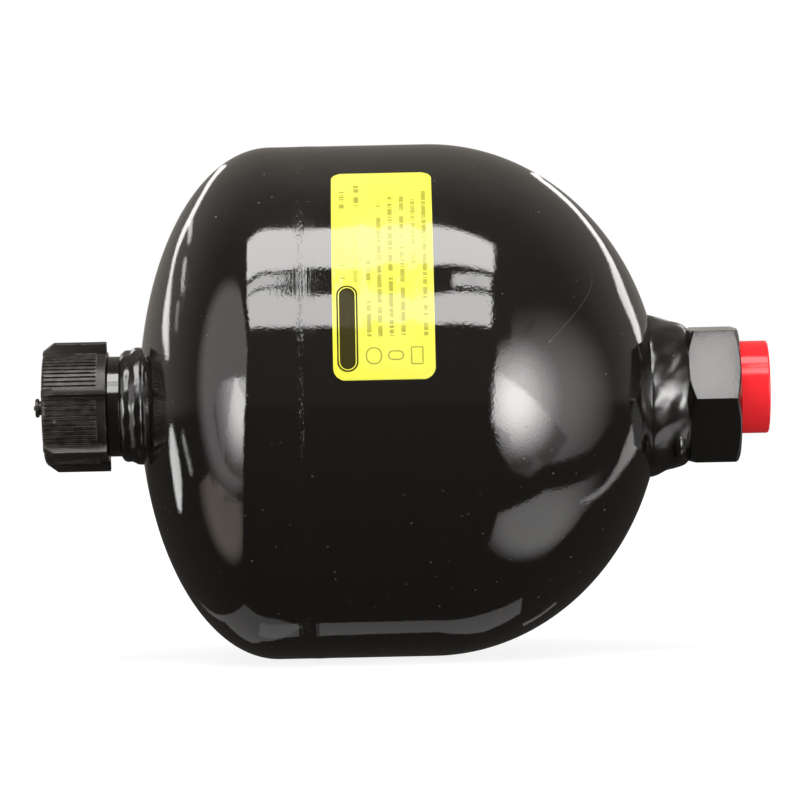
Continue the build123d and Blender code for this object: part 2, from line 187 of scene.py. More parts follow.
# %% [markdown]
# The vessel is two deep-drawn steel cups. Each is a plain band that runs over into a
# half ellipse, with a hole at its top and half of the weld's V groove at its mouth.
# A sphere stretched along X would give the dome alone; the turned outline gives the
# dome, the band, the wall and the groove in one closed skin, with the points placed
# where the curve is tightest.

# %% Helpers for domes, and for finishing a piece
def arc(tangent_x, depth, radius, hole_radius, count):
    """Points of a half-ellipse dome from its tangent line up to the rim of its hole."""
    last = math.acos(hole_radius / radius)
    return [
        (tangent_x + depth * math.sin(last * i / count), radius * math.cos(last * i / count))
        for i in range(count + 1)
    ]


SMOOTH_BELOW = math.radians(32)


def finished(piece, body, slot, *nodes, smooth_below=SMOOTH_BELOW):
    """Smooth a piece's shading, let it ride on its body and stand for its CAD nodes."""
    bpy.ops.object.select_all(action="DESELECT")
    piece.select_set(True)
    bpy.context.view_layer.objects.active = piece
    bpy.ops.object.shade_smooth_by_angle(angle=smooth_below)
    if body:
        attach(piece, body)
    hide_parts(*nodes)
    print("%s: %d faces" % (piece.name, len(piece.data.polygons)))

# %% The vessel's two halves
VESSEL_STEPS = 240
DOME_POINTS = 44
GIRTH_ROOT = 1.2 * MM      # half the width of the V groove at its bottom
HOLE_CLEARANCE = 0.1 * MM
NECK_RADIUS = 15.65 * MM
SHANK_RADIUS = 17 * MM
GROOVE_RADIUS = 76 * MM    # inside the gas half, for the separator's bead
GROOVE_END = 5.2 * MM      # from the gas tangent

hole = NECK_RADIUS + HOLE_CLEARANCE
gas_half = turned(
    "gas_half",
    [(weld_left_x, VESSEL_RADIUS)]
    + arc(gas_tangent_x, -GAS_DOME, VESSEL_RADIUS, hole, DOME_POINTS)
    + arc(gas_tangent_x, WALL - GAS_DOME, inner_radius, hole, DOME_POINTS)[::-1]
    + [(gas_tangent_x, GROOVE_RADIUS), (gas_tangent_x + GROOVE_END, GROOVE_RADIUS),
       (gas_tangent_x + GROOVE_END, inner_radius), (joint_x - GIRTH_ROOT, inner_radius)],
    VESSEL_STEPS,
)
finished(gas_half, "vessel", "black_paint", "gas_shell")

hole = SHANK_RADIUS + HOLE_CLEARANCE
fluid_half = turned(
    "fluid_half",
    [(weld_right_x, VESSEL_RADIUS)]
    + arc(fluid_tangent_x, FLUID_DOME, VESSEL_RADIUS, hole, DOME_POINTS)
    + arc(fluid_tangent_x, FLUID_DOME - WALL, inner_radius, hole, DOME_POINTS)[::-1]
    + [(joint_x + GIRTH_ROOT, inner_radius)],
    VESSEL_STEPS,
)
finished(fluid_half, "vessel", "black_paint", "fluid_shell")

# %% [markdown]
# The girth weld was ground back almost to the band and painted over, so all that is
# left is a strip of fine grinding lines round the vessel, and one ragged low seam near
# the gas half that the disc didn't reach. The lines are real ridges: the outline
# across the weld rises and falls by hundredths of a millimetre. The seam's vertices
# are picked by their place and by a cloud of noise, so that it comes and goes on its
# way round, and are sunk by one scale about the axis. Sculpting could make it too, but
# would have to be done again for a vessel of another size.

# %% Helpers that pick parts of a mesh
def pick(kind, test):
    """In edit mode: select only the verts, edges or faces that pass a test."""
    mesh = bmesh.from_edit_mesh(bpy.context.object.data)
    bpy.context.tool_settings.mesh_select_mode = [
        kind == "verts", kind == "edges", kind == "faces"]
    for items in (mesh.verts, mesh.edges, mesh.faces):
        for item in items:
            item.select = False
    count = 0
    for item in getattr(mesh, kind):
        if test(item):
            item.select_set(True)
            count += 1
    mesh.select_flush_mode()
    bmesh.update_edit_mesh(bpy.context.object.data)
    return count


def off_axis(point):
    """Distance of a point from the vessel's axis."""
    return math.hypot(point.y, point.z)

# %% Girth weld
GRIND_LINES = 20
GRIND_DEPTH = 0.05 * MM
LINE_CLOUD = (0.7, 2.3)     # step and place in the noise that makes the lines uneven
WELD_CROWN = 0.06 * MM
LOW_SEAM = (0.8 * MM, 3.3 * MM)     # from the gas side
SEAM_DEPTH = 0.05 * MM
SEAM_CLOUD = 70             # cells of noise per metre
SEAM_BREAK = -0.22          # where the noise is lower than this, the seam is missing

crown = []
for i in range(2 * GRIND_LINES + 1):
    share = i / (2 * GRIND_LINES)
    x = weld_right_x + (weld_left_x - weld_right_x) * share
    rise = WELD_CROWN * math.sin(math.pi * share)
    uneven = 0.5 + noise.noise((i * LINE_CLOUD[0], LINE_CLOUD[1], 0.0))
    crown.append((x, VESSEL_RADIUS + rise + (GRIND_DEPTH * uneven if i % 2 else 0)))
girth = turned(
    "ground_girth_weld",
    [(joint_x - GIRTH_ROOT, inner_radius), (joint_x + GIRTH_ROOT, inner_radius)] + crown,
    VESSEL_STEPS,
)


def in_the_seam(vertex):
    """Whether a vertex lies in the low seam, where that isn't missing."""
    inside = LOW_SEAM[0] < vertex.co.x - weld_left_x < LOW_SEAM[1]
    return (inside and off_axis(vertex.co) > VESSEL_RADIUS - WALL / 2
            and noise.noise(vertex.co * SEAM_CLOUD) > SEAM_BREAK)


bpy.ops.object.mode_set(mode="EDIT")
print(pick("verts", in_the_seam), "vertices in the low seam")
sink = 1 - SEAM_DEPTH / VESSEL_RADIUS
bpy.ops.transform.resize(value=(1, sink, sink), center_override=(0, 0, 0))
bpy.ops.object.mode_set(mode="OBJECT")
finished(girth, "vessel", "painted_weld", "girth_weld")

# %% [markdown]
# The gas neck was turned from bar: a stub with an M28 fine thread under the cap, a
# pocket and an M16 thread for the charging screw, and a narrow passage into the
# vessel. A thread is drawn here as a row of rings in the outline. A true helix would
# need the seam of the spin opened and shifted by a pitch; under a cap nobody can tell
# the two apart.

# %% Helper for threads
CREST_END, ROOT_START, ROOT_END = 0.125, 0.5, 0.625    # shares of a pitch


def thread(start_x, end_x, crest_radius, root_radius, pitch):
    """Points of a screw thread's section, as rings with flat crests and roots."""
    points = []
    turns = int(round(abs(end_x - start_x) / pitch))
    step = (end_x - start_x) / turns
    for i in range(turns):
        x = start_x + i * step
        points += [(x, crest_radius), (x + CREST_END * step, crest_radius),
                   (x + ROOT_START * step, root_radius), (x + ROOT_END * step, root_radius)]
    return points + [(end_x, crest_radius)]

# %% Gas neck
NECK_STEPS = 160
STUB_RADIUS = 14 * MM
STUB_ROOT_RADIUS = 13.1 * MM
FINE_PITCH = 1.5 * MM
STUB_CHAMFER = 1 * MM
POCKET_RADIUS = 10.3 * MM
POCKET_DEPTH = 4.2 * MM
SCREW_HOLE_RADIUS = 8.06 * MM
SCREW_HOLE_ROOT_RADIUS = 8.7 * MM
SCREW_HOLE_LENGTH = 10.3 * MM
GAS_PASSAGE_RADIUS = 3 * MM

stub_end_x, neck_inner_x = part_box("gas_neck")[0].x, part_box("gas_neck")[1].x
shoulder_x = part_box("valve_cap")[1].x
pocket_x = stub_end_x + POCKET_DEPTH
hole_end_x = pocket_x + SCREW_HOLE_LENGTH
EDGE = 0.4 * MM            # small chamfers where an edge was broken

neck = turned(
    "turned_gas_neck",
    [(neck_inner_x, GAS_PASSAGE_RADIUS), (neck_inner_x, NECK_RADIUS),
     (shoulder_x + EDGE, NECK_RADIUS), (shoulder_x, NECK_RADIUS - EDGE),
     (shoulder_x, STUB_ROOT_RADIUS)]
    + thread(shoulder_x - FINE_PITCH, stub_end_x + STUB_CHAMFER + EDGE,
             STUB_RADIUS, STUB_ROOT_RADIUS, FINE_PITCH)
    + [(stub_end_x, STUB_RADIUS - STUB_CHAMFER), (stub_end_x, POCKET_RADIUS),
       (pocket_x, POCKET_RADIUS)]
    + thread(pocket_x, hole_end_x, SCREW_HOLE_RADIUS, SCREW_HOLE_ROOT_RADIUS, FINE_PITCH)
    + [(hole_end_x, GAS_PASSAGE_RADIUS)],
    NECK_STEPS,
)
finished(neck, "vessel", "black_paint", "gas_neck")

# %% [markdown]
# The fillet welds at the neck and at the port were laid by hand or by a simple
# turntable, in two or three passes. Seen close they are ropes of overlapping scales
# that wander a little, under thick paint. The passes are humps in the turned outline.
# The scales are made by pushing every few columns of the rope outwards and relaxing
# the mesh, and a cloudy displacement then makes no two alike. A sculpted rope would be
# freer, but this one can be laid again round any radius.

# %% Helpers for the fillet welds
WELD_STEPS = 304
HUMP_POINTS = 8             # points of the outline to each pass
SCALE_SHARE = 0.45          # share of its pitch that a scale takes up
SCALE_SLANT = 60            # how far the scales lean, in radians per metre
SCALE_WANDER = 0.35         # share of its pitch that a scale's edge strays
SCALE_CLOUD = 90            # cells per metre of the noise that it strays by
RELAXED = 8                 # times that the pushed mesh is smoothed
ROOT_CLEAR = 0.3 * MM       # this near to its part, the rope stays round
ROPE_SMOOTH_BELOW = math.radians(75)


def modified(piece, kind, **settings):
    """Add a modifier to a piece, set it and apply it."""
    bpy.ops.object.select_all(action="DESELECT")
    piece.select_set(True)
    bpy.context.view_layer.objects.active = piece
    modifier = piece.modifiers.new(kind.lower(), kind)
    for name, value in settings.items():
        setattr(modifier, name, value)
    bpy.ops.object.modifier_apply(modifier=modifier.name)


def fillet_weld(name, outline, scales, scale_height, lump_height, lump_size, clear_radius):
    """Turned rope of weld metal with pushed-out scales and cloudy lumps."""
    weld = turned(name, outline, WELD_STEPS)
    bpy.ops.object.mode_set(mode="EDIT")
    pitch = FULL_TURN / scales
    first_x = min(x for x, radius in outline)

    def on_a_scale(vertex):
        """Whether a vertex lies on the part of a scale that stands out."""
        turn = math.atan2(vertex.co.z, vertex.co.y) + (vertex.co.x - first_x) * SCALE_SLANT
        turn += SCALE_WANDER * pitch * noise.noise(vertex.co * SCALE_CLOUD)
        return off_axis(vertex.co) > clear_radius and (turn % pitch) < SCALE_SHARE * pitch

    pick("verts", on_a_scale)
    grow = 1 + scale_height / clear_radius
    bpy.ops.transform.resize(value=(1, grow, grow), center_override=(0, 0, 0))
    pick("verts", lambda vertex: off_axis(vertex.co) > clear_radius)
    bpy.ops.mesh.vertices_smooth(factor=0.5, repeat=RELAXED)
    bpy.ops.object.mode_set(mode="OBJECT")
    lumps = bpy.data.textures.new(name + "_lumps", "CLOUDS")
    lumps.noise_scale = lump_size
    modified(weld, "DISPLACE", texture=lumps, strength=lump_height, mid_level=0.5,
             texture_coords="LOCAL")
    return weld


def rope(start, end, passes, height):
    """Outline of a fillet's outside: a line of points with a rounded hump for each pass."""
    (start_x, start_radius), (end_x, end_radius) = start, end
    outline = []
    for i in range(HUMP_POINTS * passes + 1):
        share = i / (HUMP_POINTS * passes)
        hump = height * abs(math.sin(math.pi * passes * share))
        outline.append((start_x + (end_x - start_x) * share,
                        start_radius + (end_radius - start_radius) * share + hump))
    return outline

# %% Fillet weld at the gas neck
neck_weld_top_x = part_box("gas_neck_weld")[0].x
neck_weld_toe_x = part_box("gas_neck_weld")[1].x
NECK_WELD_TOP = 16.2 * MM
NECK_WELD_TOE = 18.9 * MM

neck_weld = fillet_weld(
    "gas_neck_fillet_weld",
    rope((neck_weld_top_x, NECK_WELD_TOP), (neck_weld_toe_x, NECK_WELD_TOE),
         passes=3, height=0.75 * MM)
    + [(neck_weld_toe_x, NECK_RADIUS), (neck_weld_top_x, NECK_RADIUS)],
    scales=15, scale_height=0.15 * MM, lump_height=0.5 * MM, lump_size=10 * MM,
    clear_radius=NECK_RADIUS + ROOT_CLEAR,
)
finished(neck_weld, "vessel", "painted_weld", "gas_neck_weld", smooth_below=ROPE_SMOOTH_BELOW)

# %% [markdown]
# At the port the rope is heavier and laps over the hexagon's rear chamfer, and the
# welder's last stop stands out as one large lump towards the front and below. The
# lump is a ball of its own, pressed flatter in edit mode and joined in with a Boolean.
# Pulling a lump out of the rope would stretch its faces.

# %% Fillet weld at the port
HEX_STANDOFF = 7.5 * MM     # from the dome's top to the hexagon's rear
PORT_WELD_TOP = 20.8 * MM
PORT_WELD_TOE = 25.9 * MM
WELD_LAP = 2.0 * MM         # how far the weld laps over the hexagon's rear chamfer
STOP_RADIUS = 5.4 * MM
STOP_THIN = 0.46            # its thickness along the axis, as a share

hex_rear_x = fluid_top_x + HEX_STANDOFF
port_toe_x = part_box("fluid_port_weld")[0].x
stop_place = (hex_rear_x - 2.7 * MM, -13.4 * MM, -14.9 * MM)     # to the front, low


def joined(piece, other):
    """Merge another closed solid into a piece, and delete the other."""
    modified(piece, "BOOLEAN", operation="UNION", solver="EXACT", object=other)
    bpy.data.objects.remove(other)


port_weld = fillet_weld(
    "port_fillet_weld",
    rope((hex_rear_x + WELD_LAP, PORT_WELD_TOP), (port_toe_x, PORT_WELD_TOE),
         passes=2, height=0.35 * MM)
    + [(port_toe_x, SHANK_RADIUS), (hex_rear_x + WELD_LAP, SHANK_RADIUS)],
    scales=13, scale_height=0.3 * MM, lump_height=0.7 * MM, lump_size=12 * MM,
    clear_radius=SHANK_RADIUS + ROOT_CLEAR,
)
stop = added(bpy.ops.mesh.primitive_ico_sphere_add, "weld_stop", subdivisions=4,
             radius=STOP_RADIUS, location=stop_place)
bpy.ops.object.transform_apply(location=True, rotation=True, scale=True)
bpy.ops.object.mode_set(mode="EDIT")
bpy.ops.mesh.select_all(action="SELECT")
bpy.ops.transform.resize(value=(STOP_THIN, 1, 1), center_override=stop_place)
bpy.ops.object.mode_set(mode="OBJECT")
joined(port_weld, stop)
finished(port_weld, "vessel", "painted_weld", "fluid_port_weld",
         smooth_below=ROPE_SMOOTH_BELOW)

# %% [markdown]
# The port body is a hexagon bar turned at both ends, so its flats run out into curved
# chamfers. It is made the same way round: a round blank with two chamfer cones is
# turned, bored and threaded, and then sliced flat six times. Each slice leaves the
# arcs that a real hexagon has, which a six-sided cylinder with bevelled ends lacks.
# Last, weighted normals keep each flat's shading truly flat up to its bevelled edges,
# so that it mirrors a card as one even field.

# %% Port body
PORT_STEPS = 192
HEX_FLATS = 41 * MM
HEX_TURN = math.radians(4)
HEX_END_RADIUS = 19.9 * MM
HEX_CORNER_RADIUS = HEX_FLATS / math.sqrt(3)
HEX_REAR_CHAMFER = 2.8 * MM
HEX_FRONT_CHAMFER = 1.6 * MM
HEX_EDGE = 0.45 * MM
SHARP_ABOVE = math.radians(20)
PASSAGE_RADIUS = 6 * MM
PORT_CREST_RADIUS = 12.06 * MM
PORT_ROOT_RADIUS = 13.1 * MM
PORT_PITCH = 1.8 * MM
LEAD_IN_RADIUS = 13.4 * MM
LEAD_IN_DEPTH = 6 * MM
MOUTH_EDGE = 0.35 * MM
THREAD_LENGTH = 18 * MM

port_seat_x, port_face_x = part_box("fluid_port")[0].x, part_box("fluid_port")[1].x
thread_mouth_x = port_face_x - LEAD_IN_DEPTH
thread_floor_x = thread_mouth_x - THREAD_LENGTH

port = turned(
    "hexagon_port",
    [(port_seat_x, PASSAGE_RADIUS + EDGE), (port_seat_x, SHANK_RADIUS),
     (hex_rear_x, SHANK_RADIUS), (hex_rear_x, HEX_END_RADIUS),
     (hex_rear_x + HEX_REAR_CHAMFER, HEX_CORNER_RADIUS),
     (port_face_x - HEX_FRONT_CHAMFER, HEX_CORNER_RADIUS),
     (port_face_x, HEX_END_RADIUS), (port_face_x, LEAD_IN_RADIUS + MOUTH_EDGE),
     (port_face_x - MOUTH_EDGE, LEAD_IN_RADIUS), (thread_mouth_x, LEAD_IN_RADIUS)]
    + thread(thread_mouth_x, thread_floor_x, PORT_CREST_RADIUS, PORT_ROOT_RADIUS, PORT_PITCH)
    + [(thread_floor_x, PASSAGE_RADIUS), (port_seat_x + EDGE, PASSAGE_RADIUS)],
    PORT_STEPS,
)
bpy.ops.object.mode_set(mode="EDIT")
for side in range(6):
    turn = HEX_TURN + QUARTER_TURN / 3 + side * FULL_TURN / 6
    out = Vector((0, math.cos(turn), math.sin(turn)))
    bpy.ops.mesh.select_all(action="SELECT")
    bpy.ops.mesh.bisect(plane_co=out * HEX_FLATS / 2, plane_no=out, use_fill=True,
                        clear_outer=True)
bpy.ops.mesh.select_all(action="SELECT")
bpy.ops.mesh.remove_doubles(threshold=MERGE)


def sharp_outside(edge):
    """Whether an edge is a sharp one on the hexagon's outside."""
    middle = (edge.verts[0].co + edge.verts[1].co) / 2
    return (off_axis(middle) > HEX_END_RADIUS - EDGE and middle.x > hex_rear_x + MERGE
            and len(edge.link_faces) == 2 and edge.calc_face_angle() > SHARP_ABOVE)


print(pick("edges", sharp_outside), "sharp edges on the hexagon")
bpy.ops.mesh.bevel(offset=HEX_EDGE, segments=3, profile=0.5, affect="EDGES",
                   clamp_overlap=True)
bpy.ops.object.mode_set(mode="OBJECT")
finished(port, "vessel", "black_paint", "fluid_port")
modified(port, "WEIGHTED_NORMAL", keep_sharp=True, weight=100)

# %% [markdown]
# The cap is one moulding: a cup with an inner thread, seventy-two grip ribs, six
# wings to turn it by, a plain rim and a small nub where the plastic entered the
# mould. The cup and the nub are turned in one outline with eight columns to each rib,
# and the columns between the ribs are then drawn in. A wing is shaped from a cube, and
# made and joined in six times by one loop, so all six are alike. An array about the
# axis would do as well for the wings, but seventy-two ribs as joined solids would be
# slow, and their columns are there already.

# %% Protective cap
RIBS = 72
COLUMNS_PER_RIB = 8
CAP_RIB_RADIUS = 17.7 * MM
CAP_GROOVE_RADIUS = 17 * MM
CAP_RIM_RADIUS = 17.3 * MM
CAP_RIM_LENGTH = 3.1 * MM
CAP_BORE_RADIUS = 14.08 * MM
CAP_BORE_ROOT_RADIUS = 14.8 * MM
CAP_END_WALL = 2.5 * MM
CAP_EDGE = 0.5 * MM
WING_RADIUS = 20.8 * MM
WING_THICKNESS = 2.5 * MM
WING_TURN = math.radians(14.4)
WING_CHAMFER_LENGTH = 3.5 * MM
WING_CHAMFER_HEIGHT = 2.7 * MM
WING_EDGE = 0.3 * MM
NUB_TIP, NUB_FLANGE, NUB_STEM = 0.75 * MM, 2.95 * MM, 2.2 * MM       # their radii
NUB_LENGTHS = (0.6 * MM, 1.1 * MM, 1.8 * MM)                         # of the same three
NUB_ROUND = 0.25 * MM
RIM_EDGE = 0.3 * MM
ROUND = 0.3                 # share of an edge cut away at the middle of a rounded corner
GROOVE = (0.3, 0.7)         # shares of a rib's pitch between which the groove lies

nub_tip_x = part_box("valve_cap")[0].x
nub_flange_x = nub_tip_x + NUB_LENGTHS[0]
nub_stem_x = nub_flange_x + NUB_LENGTHS[1]
cap_end_x = nub_stem_x + NUB_LENGTHS[2]
cap_rim_x = shoulder_x - CAP_RIM_LENGTH
cap_floor_x = cap_end_x + CAP_END_WALL

cap = turned(
    "ribbed_winged_cap",
    [(nub_tip_x, 0), (nub_tip_x, NUB_TIP - NUB_ROUND), (nub_tip_x + NUB_ROUND, NUB_TIP),
     (nub_flange_x, NUB_TIP), (nub_flange_x, NUB_FLANGE - NUB_ROUND),
     (nub_flange_x + NUB_ROUND, NUB_FLANGE), (nub_stem_x - NUB_ROUND, NUB_FLANGE),
     (nub_stem_x, NUB_FLANGE - NUB_ROUND), (nub_stem_x, NUB_STEM),
     (cap_end_x - NUB_ROUND, NUB_STEM), (cap_end_x, NUB_STEM + NUB_ROUND),
     (cap_end_x, CAP_RIB_RADIUS - 2 * CAP_EDGE),
     (cap_end_x + ROUND * CAP_EDGE, CAP_RIB_RADIUS - CAP_EDGE),
     (cap_end_x + CAP_EDGE, CAP_RIB_RADIUS - ROUND * CAP_EDGE),
     (cap_end_x + 2 * CAP_EDGE, CAP_RIB_RADIUS), (cap_rim_x, CAP_RIB_RADIUS),
     (cap_rim_x, CAP_RIM_RADIUS), (shoulder_x - RIM_EDGE, CAP_RIM_RADIUS),
     (shoulder_x, CAP_RIM_RADIUS - RIM_EDGE), (shoulder_x, CAP_BORE_RADIUS + RIM_EDGE),
     (shoulder_x - RIM_EDGE, CAP_BORE_RADIUS)]
    + thread(shoulder_x - FINE_PITCH, cap_floor_x + FINE_PITCH,
             CAP_BORE_RADIUS, CAP_BORE_ROOT_RADIUS, FINE_PITCH)
    + [(cap_floor_x, CAP_BORE_RADIUS), (cap_floor_x, 0)],
    RIBS * COLUMNS_PER_RIB,
)


def between_ribs(vertex):
    """Whether a vertex of the grip lies between two ribs."""
    place = vertex.co
    if not (cap_end_x + MERGE < place.x < cap_rim_x + MERGE
            and off_axis(place) > CAP_GROOVE_RADIUS + MERGE):
        return False
    if place.x > cap_rim_x - MERGE and off_axis(place) < CAP_RIM_RADIUS + MERGE:
        return False
    pitch = FULL_TURN / RIBS
    turn = (math.atan2(place.z, -place.y) - WING_TURN) % pitch
    return GROOVE[0] * pitch < turn < GROOVE[1] * pitch


bpy.ops.object.mode_set(mode="EDIT")
grooves = pick("verts", between_ribs)
draw_in = CAP_GROOVE_RADIUS / CAP_RIB_RADIUS
bpy.ops.transform.resize(value=(1, draw_in, draw_in), center_override=(0, 0, 0))
bpy.ops.object.mode_set(mode="OBJECT")
print(grooves, "vertices drawn in between the ribs")

# %% The cap's wings
WING_ROOT_RADIUS = CAP_GROOVE_RADIUS - 1 * MM

for number in range(6):
    wing = added(bpy.ops.mesh.primitive_cube_add, "wing", size=1)
    bpy.ops.object.mode_set(mode="EDIT")
    bpy.ops.transform.resize(value=(
        shoulder_x - cap_end_x, WING_THICKNESS, WING_RADIUS - WING_ROOT_RADIUS))
    bpy.ops.transform.translate(value=(
        (shoulder_x + cap_end_x) / 2, 0, (WING_RADIUS + WING_ROOT_RADIUS) / 2))
    pick("edges", lambda edge: all(
        v.co.x < cap_end_x + MERGE and v.co.z > WING_RADIUS - MERGE for v in edge.verts))
    bpy.ops.mesh.bevel(offset=WING_CHAMFER_LENGTH, segments=1, affect="EDGES")
    pick("edges", lambda edge: all(
        v.co.x < cap_end_x + MERGE and v.co.z > WING_ROOT_RADIUS + MM for v in edge.verts))
    bpy.ops.transform.translate(value=(0, 0, WING_CHAMFER_LENGTH - WING_CHAMFER_HEIGHT))
    pick("edges", lambda edge: max(v.co.z for v in edge.verts) > WING_ROOT_RADIUS + MM)
    bpy.ops.mesh.bevel(offset=WING_EDGE, segments=2, affect="EDGES")
    bpy.ops.object.mode_set(mode="OBJECT")
    wing.rotation_euler.x = number * FULL_TURN / 6 + QUARTER_TURN - WING_TURN
    bpy.ops.object.transform_apply(location=True, rotation=True, scale=True)
    joined(cap, wing)
finished(cap, "cap", "cap_plastic", "valve_cap")

# %% [markdown]
# The transport plug is a thin, glossy moulding: a hollow head with a rounded rim and
# a spigot pushed into the port's mouth. It sits a little high, so the whole turned
# piece is moved up in edit mode, which keeps its object at the origin.

# %% Transport plug
PLUG_STEPS = 160
PLUG_OFFSET = 2 * MM
PLUG_HEAD_RADIUS = 14.45 * MM
PLUG_SPIGOT_RADIUS = 11.35 * MM
PLUG_WALL = 1.7 * MM
PLUG_ROUND = 0.7 * MM

spigot_x, head_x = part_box("port_plug")[0].x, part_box("port_plug")[1].x


def rounded(x, radius, size_x, size_radius, points=5):
    """Quarter-round corner from the end face's side to the wall's side of an outline."""
    return [
        (x - size_x * (1 - math.sin(QUARTER_TURN * (1 - i / points))),
         radius - size_radius * (1 - math.sin(QUARTER_TURN * i / points)))
        for i in range(points + 1)
    ]


plug = turned(
    "transport_plug",
    [(spigot_x, 0), (spigot_x, PLUG_SPIGOT_RADIUS - EDGE), (spigot_x + EDGE, PLUG_SPIGOT_RADIUS),
     (port_face_x, PLUG_SPIGOT_RADIUS), (port_face_x, PLUG_HEAD_RADIUS - EDGE / 2),
     (port_face_x + EDGE / 2, PLUG_HEAD_RADIUS)]
    + rounded(head_x, PLUG_HEAD_RADIUS, PLUG_ROUND, PLUG_ROUND)[::-1]
    + [(head_x, PLUG_HEAD_RADIUS - PLUG_WALL + EDGE),
       (head_x - EDGE, PLUG_HEAD_RADIUS - PLUG_WALL),
       (port_face_x + PLUG_WALL, PLUG_HEAD_RADIUS - PLUG_WALL),
       (port_face_x + PLUG_WALL, PLUG_SPIGOT_RADIUS - PLUG_WALL),
       (spigot_x + PLUG_WALL, PLUG_SPIGOT_RADIUS - PLUG_WALL), (spigot_x + PLUG_WALL, 0)],
    PLUG_STEPS,
)
bpy.ops.object.mode_set(mode="EDIT")
bpy.ops.mesh.select_all(action="SELECT")
bpy.ops.transform.translate(value=(0, 0, PLUG_OFFSET))
bpy.ops.object.mode_set(mode="OBJECT")
finished(plug, "plug", "plug_plastic", "port_plug")

# %% [markdown]
# The rating label is a film stuck on the plain band. It starts as one line along the
# vessel, spun through the label's arc. Its corners are trimmed with a few straight
# cuts each, as scissors would round them, and a Solidify modifier gives the film its
# thickness. Wrapping a flat sheet with a modifier would work too, but the spin puts
# every vertex on the cylinder exactly.

# %% Rating label
LABEL_ARC = math.radians(55.6)
LABEL_TURN = math.radians(32.3)
LABEL_CORNER = 3.4 * MM
LABEL_FACE = 80.08 * MM
LABEL_FILM = 0.05 * MM
LABEL_STEPS = 72
LABEL_STROKES = 8           # edges in the line that is spun
CUTS_PER_CORNER = 8

label_start_x, label_end_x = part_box("rating_label")[0].x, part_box("rating_label")[1].x
label_middle_x = (label_start_x + label_end_x) / 2
first = LABEL_TURN - LABEL_ARC / 2
label = drawing("rating_label_film")
pen_line([(label_start_x + (label_end_x - label_start_x) * i / LABEL_STROKES,
           -LABEL_FACE * math.cos(first), LABEL_FACE * math.sin(first))
          for i in range(LABEL_STROKES + 1)])
bpy.ops.mesh.select_all(action="SELECT")
bpy.ops.mesh.spin(steps=LABEL_STEPS, angle=LABEL_ARC, center=(0, 0, 0), axis=(1, 0, 0))

up_the_label = Vector((0, math.sin(LABEL_TURN), math.cos(LABEL_TURN)))
half_length = (label_end_x - label_start_x) / 2
half_height = VESSEL_RADIUS * math.sin(LABEL_ARC / 2)
for side_x in (-1, 1):
    for side_up in (-1, 1):
        corner = Vector((label_middle_x + side_x * (half_length - LABEL_CORNER), 0, 0))
        corner += up_the_label * side_up * (half_height - LABEL_CORNER)
        for number in range(CUTS_PER_CORNER):
            turn = QUARTER_TURN * (number + 0.5) / CUTS_PER_CORNER
            out = Vector((side_x * math.cos(turn), 0, 0))
            out += up_the_label * side_up * math.sin(turn)
            bpy.ops.mesh.select_all(action="SELECT")
            bpy.ops.mesh.bisect(plane_co=corner + out * LABEL_CORNER, plane_no=out,
                                clear_outer=True)
bpy.ops.mesh.select_all(action="SELECT")
bpy.ops.mesh.remove_doubles(threshold=MERGE)
bpy.ops.mesh.normals_make_consistent(inside=False)
bpy.ops.object.mode_set(mode="OBJECT")
if sum(face.normal.dot(face.center) for face in label.data.polygons) < 0:
    bpy.ops.object.mode_set(mode="EDIT")
    bpy.ops.mesh.flip_normals()
    bpy.ops.object.mode_set(mode="OBJECT")
modified(label, "SOLIDIFY", thickness=LABEL_FILM, offset=-1)
finished(label, "vessel", "label_film", "rating_label")

# %% [markdown]
# The separator is a moulded rubber cup. Its bead sits in a groove under the clamping
# ring, and its film lies against the fluid dome. When fluid comes in, the button at
# its centre moves towards the gas end and the film rolls over behind it. Here it is
# turned once, in its resting shape, with its film against the dome.

# %% Separator
RUBBER_STEPS = 144
FILM = 2.4 * MM
FILM_GAP = 0.4 * MM
RING_LIP_RADIUS = 68.8 * MM
RING_STEP_RADIUS = 70.6 * MM
FLARE_LENGTH = 9 * MM
BEAD_ROUND = 1.2 * MM
BEAD_RADIUS = 75.9 * MM
BUTTON_HOLE_RADIUS = 8.3 * MM
WEB_LENGTH = 2.3 * MM
BEAD_WIDTH = 5 * MM
RING_CLEARANCE = 0.1 * MM

ring_end_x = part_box("clamping_ring")[1].x
bead_left_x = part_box("separator")[0].x
bead_right_x = bead_left_x + BEAD_WIDTH
fold = RING_LIP_RADIUS - FILM_GAP
flare_x = ring_end_x + FLARE_LENGTH
outer_gap = WALL + FILM_GAP
inner_gap = outer_gap + FILM

